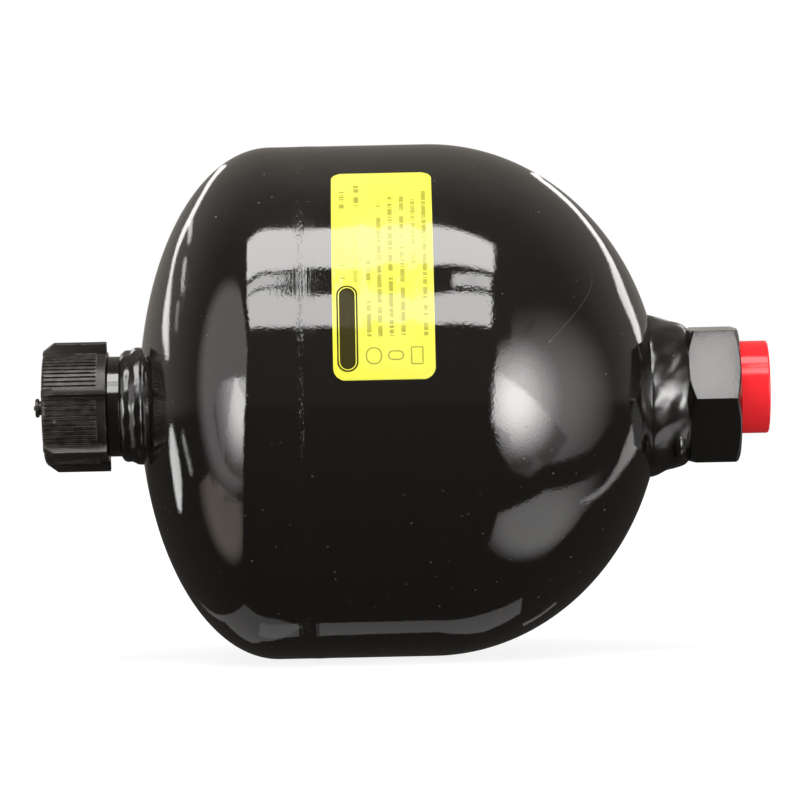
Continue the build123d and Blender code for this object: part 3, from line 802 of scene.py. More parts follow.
separator = turned(
    "rubber_separator",
    [(bead_left_x, fold - FILM), (bead_left_x, BEAD_RADIUS - BEAD_ROUND),
     (bead_left_x + ROUND * BEAD_ROUND, BEAD_RADIUS - ROUND * BEAD_ROUND),
     (bead_left_x + BEAD_ROUND, BEAD_RADIUS), (bead_right_x - BEAD_ROUND, BEAD_RADIUS),
     (bead_right_x - ROUND * BEAD_ROUND, BEAD_RADIUS - ROUND * BEAD_ROUND),
     (bead_right_x, BEAD_RADIUS - BEAD_ROUND), (bead_right_x, RING_STEP_RADIUS + RING_CLEARANCE),
     (bead_left_x + WEB_LENGTH, RING_STEP_RADIUS + RING_CLEARANCE),
     (bead_left_x + WEB_LENGTH, fold), (ring_end_x + FILM_GAP, fold),
     (flare_x, VESSEL_RADIUS - outer_gap)]
    + arc(fluid_tangent_x, FLUID_DOME - outer_gap, VESSEL_RADIUS - outer_gap,
          BUTTON_HOLE_RADIUS, DOME_POINTS)
    + arc(fluid_tangent_x, FLUID_DOME - inner_gap, VESSEL_RADIUS - inner_gap,
          BUTTON_HOLE_RADIUS, DOME_POINTS)[::-1]
    + [(flare_x, VESSEL_RADIUS - inner_gap), (ring_end_x + FILM_GAP + FILM, fold - FILM)],
    RUBBER_STEPS,
)
finished(separator, None, "rubber", "separator")
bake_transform(separator)

# %% [markdown]
# Each finish is a tree of shader nodes. It could be wired by hand in the editor, but a
# few small helpers keep it short enough to read here: one starts an empty material,
# one adds a Math node whose inputs may be sockets or numbers, and one turns a socket
# smoothly from one range to another. All patterns read Object coordinates, which are
# metres in the frame, so a speck of dust is the same size on every piece.

# %% Helpers for materials
def new_material(name):
    """Empty node material: its node tree and its output node."""
    material = bpy.data.materials.new(name)
    material.use_nodes = True
    tree = material.node_tree
    tree.nodes.clear()
    return material, tree, tree.nodes.new("ShaderNodeOutputMaterial")


def feed(tree, socket, value):
    """Link a socket into another, or write a plain value on it."""
    if isinstance(value, bpy.types.NodeSocket):
        tree.links.new(value, socket)
    else:
        socket.default_value = value


def math_node(tree, operation, *values, clamp=False):
    """Math node whose inputs are sockets or plain numbers; returns its output socket."""
    node = tree.nodes.new("ShaderNodeMath")
    node.operation = operation
    node.use_clamp = clamp
    for socket, value in zip(node.inputs, values):
        feed(tree, socket, value)
    return node.outputs[0]


def times(tree, *values, clamp=False):
    """Product of two sockets or numbers."""
    return math_node(tree, "MULTIPLY", *values, clamp=clamp)


def on_top(tree, mask, amount, base):
    """A mask times an amount, added to what is there already."""
    return math_node(tree, "MULTIPLY_ADD", mask, amount, base)


def distance(tree, across, up):
    """How far a point lies from 0, 0, from its two measures."""
    squares = [math_node(tree, "POWER", measure, 2.0) for measure in (across, up)]
    return math_node(tree, "SQRT", math_node(tree, "ADD", *squares))


def ramp(tree, value, low, high, to_low=0.0, to_high=1.0):
    """Smooth step of a socket from one range to another."""
    node = tree.nodes.new("ShaderNodeMapRange")
    node.interpolation_type = "SMOOTHSTEP"
    for socket, setting in zip(node.inputs[:5], (value, low, high, to_low, to_high)):
        feed(tree, socket, setting)
    return node.outputs[0]

# %% Helpers for patterns and colours
def object_point(tree):
    """The Object coordinates."""
    return tree.nodes.new("ShaderNodeTexCoord").outputs["Object"]


def axes(tree, point):
    """The x, y and z sockets of a point."""
    split = tree.nodes.new("ShaderNodeSeparateXYZ")
    tree.links.new(point, split.inputs[0])
    return split.outputs


def clouds(tree, point, scale, detail=2.0, roughness=0.5, distortion=0.0):
    """Noise texture's grey value at a point; scale is in cells per metre."""
    node = tree.nodes.new("ShaderNodeTexNoise")
    feed(tree, node.inputs["Vector"], point)
    feed(tree, node.inputs["Scale"], scale)
    node.inputs["Detail"].default_value = detail
    node.inputs["Roughness"].default_value = roughness
    node.inputs["Distortion"].default_value = distortion
    return node.outputs["Fac"]


def stretched(tree, point, x, y, z):
    """A point with its axes stretched, so that a pattern on it becomes streaks."""
    node = tree.nodes.new("ShaderNodeMapping")
    tree.links.new(point, node.inputs["Vector"])
    node.inputs["Scale"].default_value = (x, y, z)
    return node.outputs[0]


def colour_mix(tree, factor, first, second):
    """Mix of two colours by a mask; each is a socket or a red, green, blue triple."""
    node = tree.nodes.new("ShaderNodeMix")
    node.data_type = "RGBA"
    feed(tree, node.inputs["Factor"], factor)
    for name, colour in (("A", first), ("B", second)):
        socket = [s for s in node.inputs if s.name == name and s.type == "RGBA"][0]
        feed(tree, socket, colour if isinstance(colour, bpy.types.NodeSocket)
             else (*colour, 1))
    return [s for s in node.outputs if s.type == "RGBA"][0]

# %% Helpers for shared effects and for surfaces
def group(name, inputs, outputs):
    """Empty node group with float or vector inputs and float outputs."""
    tree = bpy.data.node_groups.new(name, "ShaderNodeTree")
    for socket, kind in inputs.items():
        tree.interface.new_socket(socket, in_out="INPUT", socket_type=kind)
    for socket in outputs:
        tree.interface.new_socket(socket, in_out="OUTPUT", socket_type="NodeSocketFloat")
    return tree, tree.nodes.new("NodeGroupInput").outputs, tree.nodes.new("NodeGroupOutput").inputs


def use(tree, effect, **values):
    """Place a node group in a tree, with its own values; returns its outputs."""
    node = tree.nodes.new("ShaderNodeGroup")
    node.node_tree = effect
    for socket, value in values.items():
        feed(tree, node.inputs[socket.capitalize()], value)
    return node.outputs


def principled(tree, output, ior=1.5, specular=0.5):
    """Principled shader on the surface, with its constants on its own sockets."""
    shader = tree.nodes.new("ShaderNodeBsdfPrincipled")
    shader.inputs["IOR"].default_value = ior
    shader.inputs["Specular IOR Level"].default_value = specular
    tree.links.new(shader.outputs[0], output.inputs["Surface"])
    return shader


def bumped(tree, shader, height, distance):
    """Let a height socket, in units of distance, shape a shader's normal."""
    bump = tree.nodes.new("ShaderNodeBump")
    bump.inputs["Strength"].default_value = 1.0
    bump.inputs["Distance"].default_value = distance
    tree.links.new(height, bump.inputs["Height"])
    tree.links.new(bump.outputs[0], shader.inputs["Normal"])


NUMBER, POINT = "NodeSocketFloat", "NodeSocketVector"

# %% [markdown]
# Gloss black paint shows little but its surroundings, so the lights are the larger
# part of its look. Each softbox is a glowing panel that the camera can't see but the
# paint can mirror. Its outline is drawn point by point, because the mirror image of a
# lamp has the outline of its cloth and of the black flags in front of it. Its glow may
# fade away from a focus, as it does over the bulb. The cloth is clear: its emission is
# added to a transparent shader, so a panel adds to the glow of the one behind it and
# doesn't cover it. Area lamps would light as well, but can't have such outlines.

# %% A softbox
LAMP_TINT = (1.0, 0.985, 0.975, 1)
WARM_TINT = (1.0, 0.86, 0.74, 1)


def glowing_cloth(name, radiance, focus, tint, clear):
    """Emission that may fade away from a focus. Clear cloth lets other glows through.

    The focus is its place across and up the panel, how far it reaches across and up,
    and the share of that reach in which the glow is full.
    """
    material, tree, output = new_material(name)
    strength = radiance
    if focus:
        across, up, reach_across, reach_up, full = focus
        measures = [
            times(tree, math_node(tree, "SUBTRACT", axis, middle), 1 / reach)
            for axis, middle, reach in zip(
                axes(tree, object_point(tree)), (across, up), (reach_across, reach_up))]
        strength = ramp(tree, distance(tree, *measures), 1.0, full, 0.0, radiance)
    emission = tree.nodes.new("ShaderNodeEmission")
    emission.inputs["Color"].default_value = tint
    feed(tree, emission.inputs["Strength"], strength)
    cloth = tree.nodes.new("ShaderNodeAddShader")
    if clear:
        tree.links.new(tree.nodes.new("ShaderNodeBsdfTransparent").outputs[0], cloth.inputs[0])
    tree.links.new(emission.outputs[0], cloth.inputs[1])
    tree.links.new(cloth.outputs[0], output.inputs["Surface"])
    return material


def hung(panel, radiance, focus=None, tint=LAMP_TINT, clear=True):
    """Give a panel its glow, and hide it from the camera."""
    panel.data.materials.append(
        glowing_cloth(panel.name + "_cloth", radiance, focus, tint, clear))
    panel.visible_camera = False
    panel.visible_shadow = False
    print("%s glows at %.2f" % (panel.name, radiance))


def softbox(name, middle, across, up, outline, radiance, focus=None, tint=LAMP_TINT,
            clear=True):
    """Flat panel of any outline, drawn as (across, up) points about its middle."""
    panel = drawing(name)
    pen_line([(x, y, 0) for x, y in outline])
    bpy.ops.mesh.select_all(action="SELECT")
    bpy.ops.mesh.edge_face_add()
    bpy.ops.object.mode_set(mode="OBJECT")
    panel.location = middle
    panel.rotation_euler = Matrix((across, up, across.cross(up))).transposed().to_euler()
    hung(panel, radiance, focus, tint, clear)
    return panel

# %% [markdown]
# Two long softboxes hang in front and above, on one sloping plane, and make the two
# level windows in the paint. Two short cards between them close the windows' ends.
# Each is an outline on that plane, in metres from its middle. One large box with a
# dark cross before it would do the same, but its edges couldn't be set one by one.

# %% Softboxes in front
SLOPE = math.radians(48)     # of the line from the vessel to the hanging plane
HANGING = 1.0                # metres from the vessel to that plane
slope_out = Vector((0, -math.cos(SLOPE), math.sin(SLOPE)))
slope_up = Vector((0, math.sin(SLOPE), math.cos(SLOPE)))
EAST, NORTH, UP = Vector((1, 0, 0)), Vector((0, 1, 0)), Vector((0, 0, 1))

for name, radiance, outline in (
    ("upper_window", 5.2,
     [(-0.527, 0.607), (-0.055, 0.652), (-0.023, 0.648), (0.077, 0.651), (0.624, 0.603),
      (0.606, 0.267), (0.066, 0.208), (-0.037, 0.204), (-0.054, 0.183), (-0.521, 0.178)]),
    ("lower_window", 4.6,
     [(-0.537, 0.028), (-0.054, 0.030), (-0.053, -0.028), (0.061, -0.038), (0.594, 0.048),
      (0.627, -0.241), (0.058, -0.280), (-0.026, -0.279), (-0.055, -0.277),
      (-0.502, -0.251)]),
    ("left_card", 4.2, [(-0.525, 0.132), (-0.054, 0.157), (-0.054, 0.054), (-0.535, 0.045)]),
    ("right_card", 4.2, [(0.219, 0.141), (0.574, 0.223), (0.580, 0.090), (0.220, 0.038)]),
):
    softbox(name, slope_out * HANGING, EAST, slope_up, outline, radiance)

# %% [markdown]
# The hexagon's upper flat is a plane mirror, which shows one small part of the room
# and nothing else. A small card close by, square to that line of sight, fills the flat
# with one even grey. It is opaque, so that nothing behind it adds to the grey, and so
# small that the round vessel next to it hardly mirrors it. Turning up the lamps would
# brighten the flat too, and everything else with it.

# %% Card for the hexagon's upper flat
CARD_GLOW = 3.9
CARD_DISTANCE = 0.3          # metres
CARD_WIDE, CARD_HIGH = 11 * MM, 15.5 * MM    # half its sides
FLAT_UP = math.radians(52)   # of the line from the flat to the card
FLAT_EAST = 0.063            # how far that line leans towards the fluid end
flat_middle = Vector((105 * MM, -18 * MM, 9 * MM))

card_out = Vector((FLAT_EAST, -math.cos(FLAT_UP), math.sin(FLAT_UP))).normalized()
softbox("hexagon_card", flat_middle + card_out * CARD_DISTANCE, EAST, card_out.cross(EAST),
        [(-CARD_WIDE, -CARD_HIGH), (CARD_WIDE, -CARD_HIGH), (CARD_WIDE, CARD_HIGH),
         (-CARD_WIDE, CARD_HIGH)], CARD_GLOW, clear=False)

# %% [markdown]
# A lamp at each side is a bright core with a wide, dim glow round it, and a smaller,
# warmer patch below, where the floor of the room throws the light back. The straight
# edge of each is the edge of a black flag. One panel with a painted glow could stand
# for all three, but each can be dimmed and moved by itself this way.

# %% Lamps at the sides
LAMP_DISTANCE = 1.2          # metres
LEFT_LAMP, RIGHT_LAMP = math.radians(-70), math.radians(62)

for name, turn, radiance, focus, tint, outline in (
    ("left_lamp_glow", LEFT_LAMP, 0.72, (0.60, 0.22, 1.25, 1.15, 0.74), LAMP_TINT,
     [(0.33, 1.20), (0.71, 0.91), (0.90, 0.57), (0.89, 0.25), (0.85, 0.05), (0.69, -0.41),
      (0.53, -0.72), (0.41, -0.93), (0.10, -0.80), (-0.30, -0.60), (-0.60, -0.20),
      (-0.70, 0.12), (-0.60, 0.50), (-0.40, 0.90), (0.0, 1.25)]),
    ("left_lamp", LEFT_LAMP, 5.2, (0.75, 0.05, 0.86, 0.72, 0.22), LAMP_TINT,
     [(0.10, 0.15), (0.46, 0.21), (0.86, 0.26), (0.85, 0.05), (0.69, -0.41), (0.53, -0.72),
      (0.30, -0.60), (0.04, -0.40), (-0.12, -0.10), (-0.12, 0.05)]),
    ("left_low_patch", LEFT_LAMP, 0.62, (-0.22, -0.85, 0.80, 0.92, 0.4), WARM_TINT,
     [(-0.38, -0.40), (-0.18, -0.53), (0.07, -0.70), (0.40, -0.95), (0.16, -1.28),
      (-0.29, -1.76), (-0.60, -1.60), (-1.00, -1.20), (-1.00, -0.70), (-0.80, -0.45)]),
    ("right_lamp_glow", RIGHT_LAMP, 1.15, (-0.25, 0.0, 1.55, 0.88, 0.12), LAMP_TINT,
     [(-0.38, 0.43), (-0.24, 0.75), (0.09, 0.95), (0.60, 0.85), (1.10, 0.60), (1.35, 0.26),
      (1.35, -0.10), (0.96, -0.24), (0.71, -0.38), (0.08, -0.53), (-0.06, -0.68),
      (-0.32, -0.66), (-0.53, -0.49), (-0.68, -0.21), (-0.69, 0.09), (-0.61, 0.27),
      (-0.45, 0.39)]),
    ("right_lamp", RIGHT_LAMP, 7.2, (-0.36, 0.0, 0.60, 0.60, 0.05), LAMP_TINT,
     [(-0.50, 0.60), (0.0, 0.65), (0.25, 0.40), (0.30, -0.30), (0.08, -0.60), (-0.06, -0.68),
      (-0.32, -0.66), (-0.53, -0.49), (-0.68, -0.21), (-0.69, 0.09), (-0.61, 0.27)]),
    ("right_low_patch", RIGHT_LAMP, 0.92, (0.35, -1.30, 1.20, 1.15, 0.25), LAMP_TINT,
     [(0.77, -2.40), (0.50, -2.60), (-0.10, -2.20), (-0.30, -1.33), (-0.04, -1.03),
      (0.21, -0.77), (0.64, -0.68), (1.09, -0.56), (1.56, -0.34), (2.20, -0.27),
      (1.56, -0.83), (1.20, -1.03), (1.20, -1.46), (1.25, -1.98)]),
):
    out = Vector((math.sin(turn), -math.cos(turn), 0))
    side = Vector((math.cos(turn), math.sin(turn), 0))
    softbox(name, out * LAMP_DISTANCE, side, UP, outline, radiance, focus, tint)

# %% [markdown]
# Curved strip lights behind the vessel draw the bright arcs along both domes. Each is
# a ribbon hung on a wide circle: its two edges are drawn point by point, as azimuth
# and elevation in degrees, and bridged. A curve with a width would be quicker to draw,
# but these ribbons swell and thin on their way.

# %% Strip lights behind
STRIP_DISTANCE = 3.0
STRIP_TRIM = 0.2            # share of a ribbon trimmed off its outer edge


def toward(azimuth, elevation):
    """Direction by compass: azimuth 0 is the camera's side, 90 the fluid port's."""
    turn, rise = math.radians(azimuth), math.radians(elevation)
    return Vector((math.sin(turn) * math.cos(rise), -math.cos(turn) * math.cos(rise),
                   math.sin(rise)))


for name, radiance, one_edge, other_edge in (
    ("left_rear_strip", 2.8,
     [(-173, 9.4), (-168, 14), (-164, 16), (-160, 17.5), (-157, 17.2), (-155, 16.2),
      (-153.8, 14.9), (-152.4, 14), (-150.3, 13.3), (-147.7, 12.6), (-145.6, 11.8),
      (-144.4, 10.6), (-143.4, 9.3), (-142, 8.1), (-140, 7), (-136.6, 6.2), (-132.2, 5.4)],
     [(-167, 19.4), (-163, 20.8), (-159, 21.6), (-154.5, 22.2), (-151, 22), (-148.5, 20.6),
      (-147.6, 18.4), (-147, 16.6), (-145.5, 15.2), (-143.3, 14.1), (-140.8, 13.4),
      (-138.3, 12.4), (-136.2, 11.2), (-134.1, 10), (-132, 8.8), (-130.4, 7.5), (-129.1, 6.2)]),
    ("left_second_strip", 1.9,
     [(-151.7, 17.8), (-145.4, 19.5), (-139.9, 20.6)],
     [(-146.6, 21.4), (-140.7, 22.6), (-137, 22.3)]),
    ("left_third_strip", 1.9,
     [(-137.2, 18.9), (-134.3, 17.9), (-131.4, 17), (-127.4, 16.4)],
     [(-132.8, 21.1), (-129.8, 20), (-127.8, 18.6), (-124.6, 17.9)]),
    ("left_faint_strip", 0.9,
     [(-130.5, 14), (-129, 12.6), (-126.5, 10.5)],
     [(-126.5, 15.3), (-126, 13.6), (-123.4, 11.2)]),
    ("left_lower_strip", 2.8,
     [(-128.1, -2.7), (-130.4, -4.2), (-132.2, -5.6), (-133, -7.2), (-133.3, -9),
      (-133.5, -11.1), (-133.7, -13.2)],
     [(-124.1, -2.9), (-122.8, -5.2), (-121.5, -7), (-121.2, -9.2), (-122.4, -11.5),
      (-125.5, -13.3), (-130.1, -14.6)]),
    ("left_lower_line", 1.5,
     [(-116, -4.7), (-114.4, -7.6), (-113.4, -10.2), (-112.5, -12.6)],
     [(-113.1, -5), (-111.5, -8), (-109.8, -11), (-109.2, -13.4)]),
    ("right_rear_strip", 2.8,
     [(167.1, 21), (163.7, 22.8), (160.6, 23.2), (157.8, 23), (154.6, 22.7), (151.4, 22.2),
      (148.8, 21.3), (145.2, 20.7), (141.4, 20), (136.8, 19.4), (133.2, 18.2), (132.4, 15.8),
      (133.3, 13), (134.1, 10.4), (135.9, 8.1)],
     [(174.1, 9.1), (169.6, 15), (166.4, 16.3), (163.8, 16.8), (160.3, 17.6), (157.3, 17.8),
      (154.6, 17.4), (151.9, 16.9), (149.7, 16.1), (147, 15.2), (144.4, 14.1), (143.7, 12.2),
      (143.8, 10.1), (143.2, 8.3), (140.8, 7.2)]),
    ("right_thin_strip", 1.2,
     [(130.9, 5.5), (128.3, 2.6), (126.3, -0.6)],
     [(133.1, 5.3), (131.1, 2.4), (129.7, -0.6)]),
    ("right_lower_strip", 1.0,
     [(125, -3.5), (120.3, -6.5), (117, -10.2), (116, -13.3), (115, -16.8), (112.6, -20.4),
      (105.8, -25.3), (98.3, -30.6)],
     [(133.2, -3), (135.2, -5), (134.4, -7.6), (129.5, -10.9), (124, -14.6), (119.2, -18.5),
      (114.4, -22.9), (106.6, -28)]),
):
    strip = drawing(name)
    one_edge = [[a + (b - a) * STRIP_TRIM for a, b in zip(*pair)]
                for pair in zip(one_edge, other_edge)]
    pen_line([toward(*point) * STRIP_DISTANCE for point in one_edge])
    pen_line([toward(*point) * STRIP_DISTANCE for point in other_edge])
    bpy.ops.mesh.select_all(action="SELECT")
    bpy.ops.mesh.bridge_edge_loops()
    bpy.ops.object.mode_set(mode="OBJECT")
    hung(strip, radiance)
    assert len(strip.data.polygons) == len(one_edge) - 1, name
print(sum("_cloth" in m.name for m in bpy.data.materials), "panels of light")

# %% [markdown]
# The floor is a sheet of white acrylic just under the vessel, wide enough to fill the
# view. To the camera it glows white and keeps the shadow, and it runs out into the
# backdrop without a line: the glow rises to full white with the distance, and the
# lit sheet adds the rest near the vessel. A curved backdrop would hide the line too,
# but would throw light on the vessel's back.

# %% Floor
FLOOR_GAP = 0.4 * MM
FLOOR_SIZE = 12              # metres
FLOOR_NEAR, FLOOR_FAR = 0.86, 1.0            # its glow for the camera
NEAR_ENDS, FAR_STARTS = 0.15, 0.8            # metres from its middle
SHEET_GREY = (0.3, 0.3, 0.3, 1)
floor_z = cad_low.z - FLOOR_GAP

floor = added(bpy.ops.mesh.primitive_plane_add, "floor", size=FLOOR_SIZE,
              location=(0, 0, floor_z))
material, tree, output = new_material("white_acrylic")
path = tree.nodes.new("ShaderNodeLightPath").outputs
x, y, _ = axes(tree, object_point(tree))
far = distance(tree, x, y)
sheet = tree.nodes.new("ShaderNodeBsdfDiffuse")
sheet.inputs["Color"].default_value = SHEET_GREY
white = tree.nodes.new("ShaderNodeEmission")
feed(tree, white.inputs["Strength"], ramp(
    tree, far, NEAR_ENDS, FAR_STARTS, FLOOR_NEAR, FLOOR_FAR))
seen = tree.nodes.new("ShaderNodeAddShader")
tree.links.new(white.outputs[0], seen.inputs[0])
tree.links.new(sheet.outputs[0], seen.inputs[1])
for_camera = tree.nodes.new("ShaderNodeMixShader")
tree.links.new(path["Is Camera Ray"], for_camera.inputs[0])
tree.links.new(sheet.outputs[0], for_camera.inputs[1])
tree.links.new(seen.outputs[0], for_camera.inputs[2])
tree.links.new(for_camera.outputs[0], output.inputs["Surface"])
floor.data.materials.append(material)
floor.visible_glossy = False
print("floor at z %.1f mm" % (floor_z / MM))

# %% [markdown]
# The paint doesn't mirror the whole sheet, only a few pools of light on it. They are
# clear cards, drawn in millimetres just over the floor, that light nothing but the
# paint's mirror image. A floor that is really lit in pools would need lamps that the
# rest of the vessel would mirror too.

# %% Pools of light on the floor
for name, glow, outline in (
    ("left_pool", 0.24, [(-86, 52), (-59, -9), (-42, -18), (-38, -24), (-30, -28), (-24, -35),
                         (-32, -40), (-52, -40)]),
    ("seam_pool", 0.26, [(-40, -36), (-25, -37), (-25, -29), (-40, -27)]),
    ("right_pool", 0.30, [(-19, -37), (18, -37), (36, -35), (54, -31), (50, -21), (34, -23),
                          (18, -30), (-19, -29)]),
    ("right_far_pool", 0.30, [(49, -9), (57, -3), (67, 3), (67, 7), (57, 1), (49, -5)]),
):
    pool = softbox(name, Vector((0, 0, floor_z + FLOOR_GAP / 2)), EAST, NORTH,
                   [(x * MM, y * MM) for x, y in outline], glow)
    pool.visible_diffuse = False

# %% [markdown]
# The world is the studio round it. The camera sees a white backdrop of strength 1, and
# the paint and any glass mirror that white straight behind the vessel. Round it the
# wall is dimmer, and the room in front and the ground below the horizon are nearly
# dark and a little warm, which is what makes black paint look black. A studio image
# would do all this at once, but the script reads nothing from disk.

# %% World
ROOM_TINT = (1.0, 0.93, 0.85, 1)
WHITE = (1, 1, 1, 1)
ROOM_DIM, WALL_DIM, GROUND_DIM, BACKDROP = 0.03, 0.22, 0.04, 1.0
WALL_STARTS, WALL_FULL = 0.0, 0.9            # how far a direction points away, 1 at most
BACKDROP_STARTS, BACKDROP_FULL = 0.985, 1.0
GROUND_FULL, GROUND_ENDS = -0.05, 0.0        # how far a direction points up

world = bpy.data.worlds.new("studio")
bpy.context.scene.world = world
world.use_nodes = True
tree = world.node_tree
tree.nodes.clear()
output = tree.nodes.new("ShaderNodeOutputWorld")
path = tree.nodes.new("ShaderNodeLightPath").outputs
_, behind, above = axes(tree, tree.nodes.new("ShaderNodeTexCoord").outputs["Generated"])
mirrored = math_node(tree, "MAXIMUM", path["Is Glossy Ray"], path["Is Transmission Ray"])
wall = ramp(tree, behind, WALL_STARTS, WALL_FULL, ROOM_DIM, WALL_DIM)
straight_behind = ramp(tree, behind, BACKDROP_STARTS, BACKDROP_FULL, 0.0,
                       BACKDROP - WALL_DIM)
wall = math_node(tree, "ADD", wall, times(tree, mirrored, straight_behind))
wall = on_top(tree, wall, ramp(tree, above, GROUND_FULL, GROUND_ENDS), GROUND_DIM)
room = tree.nodes.new("ShaderNodeBackground")
room.inputs["Color"].default_value = ROOM_TINT
tree.links.new(wall, room.inputs["Strength"])
backdrop = tree.nodes.new("ShaderNodeBackground")
backdrop.inputs["Color"].default_value = WHITE
backdrop.inputs["Strength"].default_value = BACKDROP
mix = tree.nodes.new("ShaderNodeMixShader")
tree.links.new(path["Is Camera Ray"], mix.inputs[0])
tree.links.new(room.outputs[0], mix.inputs[1])
tree.links.new(backdrop.outputs[0], mix.inputs[2])
tree.links.new(mix.outputs[0], output.inputs["Surface"])
bpy.context.scene.view_settings.view_transform = "Standard"
print("the room's strength is %.2f to %.2f" % (ROOM_DIM, WALL_DIM + GROUND_DIM))

# %% [markdown]
# Sprayed paint is never flat: it sets with a fine pebbled skin, called orange peel,
# over slower waves, and both show where a bright edge is mirrored. Dust lies on it as
# scattered specks. Handling leaves chips and fine scratches. Each of these is one node
# group with its own knobs, used by all the finishes that need it. They could be
# painted on by hand, but then every part of a new size would need new paint.

# %% Shared effects: orange peel and dust
PEEL_CLOUD, WAVE_CLOUD = 1200.0, 75.0        # cells of noise per metre

peel_effect, given, out = group(
    "orange_peel", {"Point": POINT, "Peel": NUMBER, "Wave": NUMBER}, ["Height"])
fine = clouds(peel_effect, given["Point"], PEEL_CLOUD, detail=2.0)
slow = clouds(peel_effect, given["Point"], WAVE_CLOUD, detail=1.0)
feed(peel_effect, out["Height"], math_node(
    peel_effect, "ADD", times(peel_effect, fine, given["Peel"]),
    times(peel_effect, slow, given["Wave"])))

# A speck sits in some of the cells, and the cube of a chance makes most specks small.
dust_effect, given, out = group(
    "dust_specks", {"Point": POINT, "Cells": NUMBER, "Size": NUMBER, "Share": NUMBER}, ["Mask"])
cells = dust_effect.nodes.new("ShaderNodeTexVoronoi")
feed(dust_effect, cells.inputs["Vector"], given["Point"])
feed(dust_effect, cells.inputs["Scale"], given["Cells"])
chance, size, _ = axes(dust_effect, cells.outputs["Color"])
speck = times(dust_effect, given["Size"], math_node(dust_effect, "POWER", size, 3.0))
speck = math_node(dust_effect, "LESS_THAN", cells.outputs["Distance"], speck)
kept = math_node(dust_effect, "LESS_THAN", chance, given["Share"])
feed(dust_effect, out["Mask"], times(dust_effect, speck, kept))
print(len(bpy.data.node_groups), "shared effects so far")

# %% Shared effects: chips and scratches
CHIP_LIMIT, CHIP_EDGE = 0.8, 0.012           # noise above which paint is off, and its blur
SCRATCH_EDGES = (0.0035, 0.001)              # half a scratch's width in the noise, blurred
SCRATCH_BREAKS = 22.0                        # cells per metre of the noise that breaks it
SCRATCH_BREAK_EDGES = (0.56, 0.62)

chip_effect, given, out = group(
    "paint_chips", {"Point": POINT, "Scale": NUMBER, "Amount": NUMBER}, ["Mask"])
patch = clouds(chip_effect, given["Point"], given["Scale"], detail=4.0, roughness=0.65)
limit = math_node(chip_effect, "SUBTRACT", CHIP_LIMIT, given["Amount"])
feed(chip_effect, out["Mask"], ramp(
    chip_effect, patch, limit, math_node(chip_effect, "ADD", limit, CHIP_EDGE)))

# A scratch is where a cloud of noise crosses its middle grey.
scratch_effect, given, out = group(
    "hair_scratches", {"Point": POINT, "Scale": NUMBER, "Amount": NUMBER}, ["Mask"])
ridged = clouds(scratch_effect, given["Point"], given["Scale"], detail=0.0, distortion=1.2)
line = math_node(scratch_effect, "ABSOLUTE", math_node(scratch_effect, "SUBTRACT", ridged, 0.5))
line = ramp(scratch_effect, line, *SCRATCH_EDGES)
broken = clouds(scratch_effect, given["Point"], SCRATCH_BREAKS, detail=3.0)
broken = ramp(scratch_effect, broken, *SCRATCH_BREAK_EDGES)
feed(scratch_effect, out["Mask"], times(
    scratch_effect, times(scratch_effect, line, broken), given["Amount"]))
print(len(bpy.data.node_groups), "shared effects so far")

# %% [markdown]
# The black paint itself is one thick, glossy coat over grey primer. On the vessel it
# is at its smoothest, on the fittings a little rougher, and on the welds it runs
# together in the hollows. One function mixes it and each use turns the knobs. A plain
# Principled shader with a raised specular level gives the depth of wet-looking enamel;
# a clear coat over a dull base would too, but mirrors everything twice.

# %% Colours and sizes of the black paint
PAINT_BLACK = (0.0085, 0.0075, 0.0065)
PRIMER_GREY = (0.16, 0.155, 0.15)
DUST_BROWN = (0.10, 0.088, 0.072)
SPECK_GREY = (0.17, 0.155, 0.135)
# Colour of the faces turned up: painted top light, with some dust lying there too.
TOP_LIGHT_AND_DUST = (0.022, 0.020, 0.017)
TOP_LIGHT_FROM, TOP_LIGHT_FULL = 0.45, 1.0           # how far a surface faces up
GRIND_CLOUD, SEAM_GRAIN = 1400.0, 1500.0     # cells of noise per metre
SEAM_EDGES = ((0.6, 1.8), (3.7, 2.4))        # mm from the gas side: none, and full
SEAM_SINK, SPECK_RISE, CHIP_SINK = -0.035, 0.03, -0.06       # mm


def grinding(tree, point, lines, height):
    """Fine lines round the vessel and the ragged low seam, added to a paint's height."""
    marks = clouds(tree, stretched(tree, point, 1, 0.05, 0.05), GRIND_CLOUD, detail=3.0)
    height = on_top(tree, marks, lines, height)
    sides = [ramp(tree, axes(tree, point)[0], weld_left_x + none * MM, weld_left_x + full * MM)
             for none, full in SEAM_EDGES]
    ragged = ramp(tree, clouds(tree, stretched(tree, point, 1, 0.35, 0.35), SEAM_GRAIN,
                               detail=3.0), 0.5, 0.62)
    return on_top(tree, times(tree, times(tree, *sides), ragged), SEAM_SINK, height)

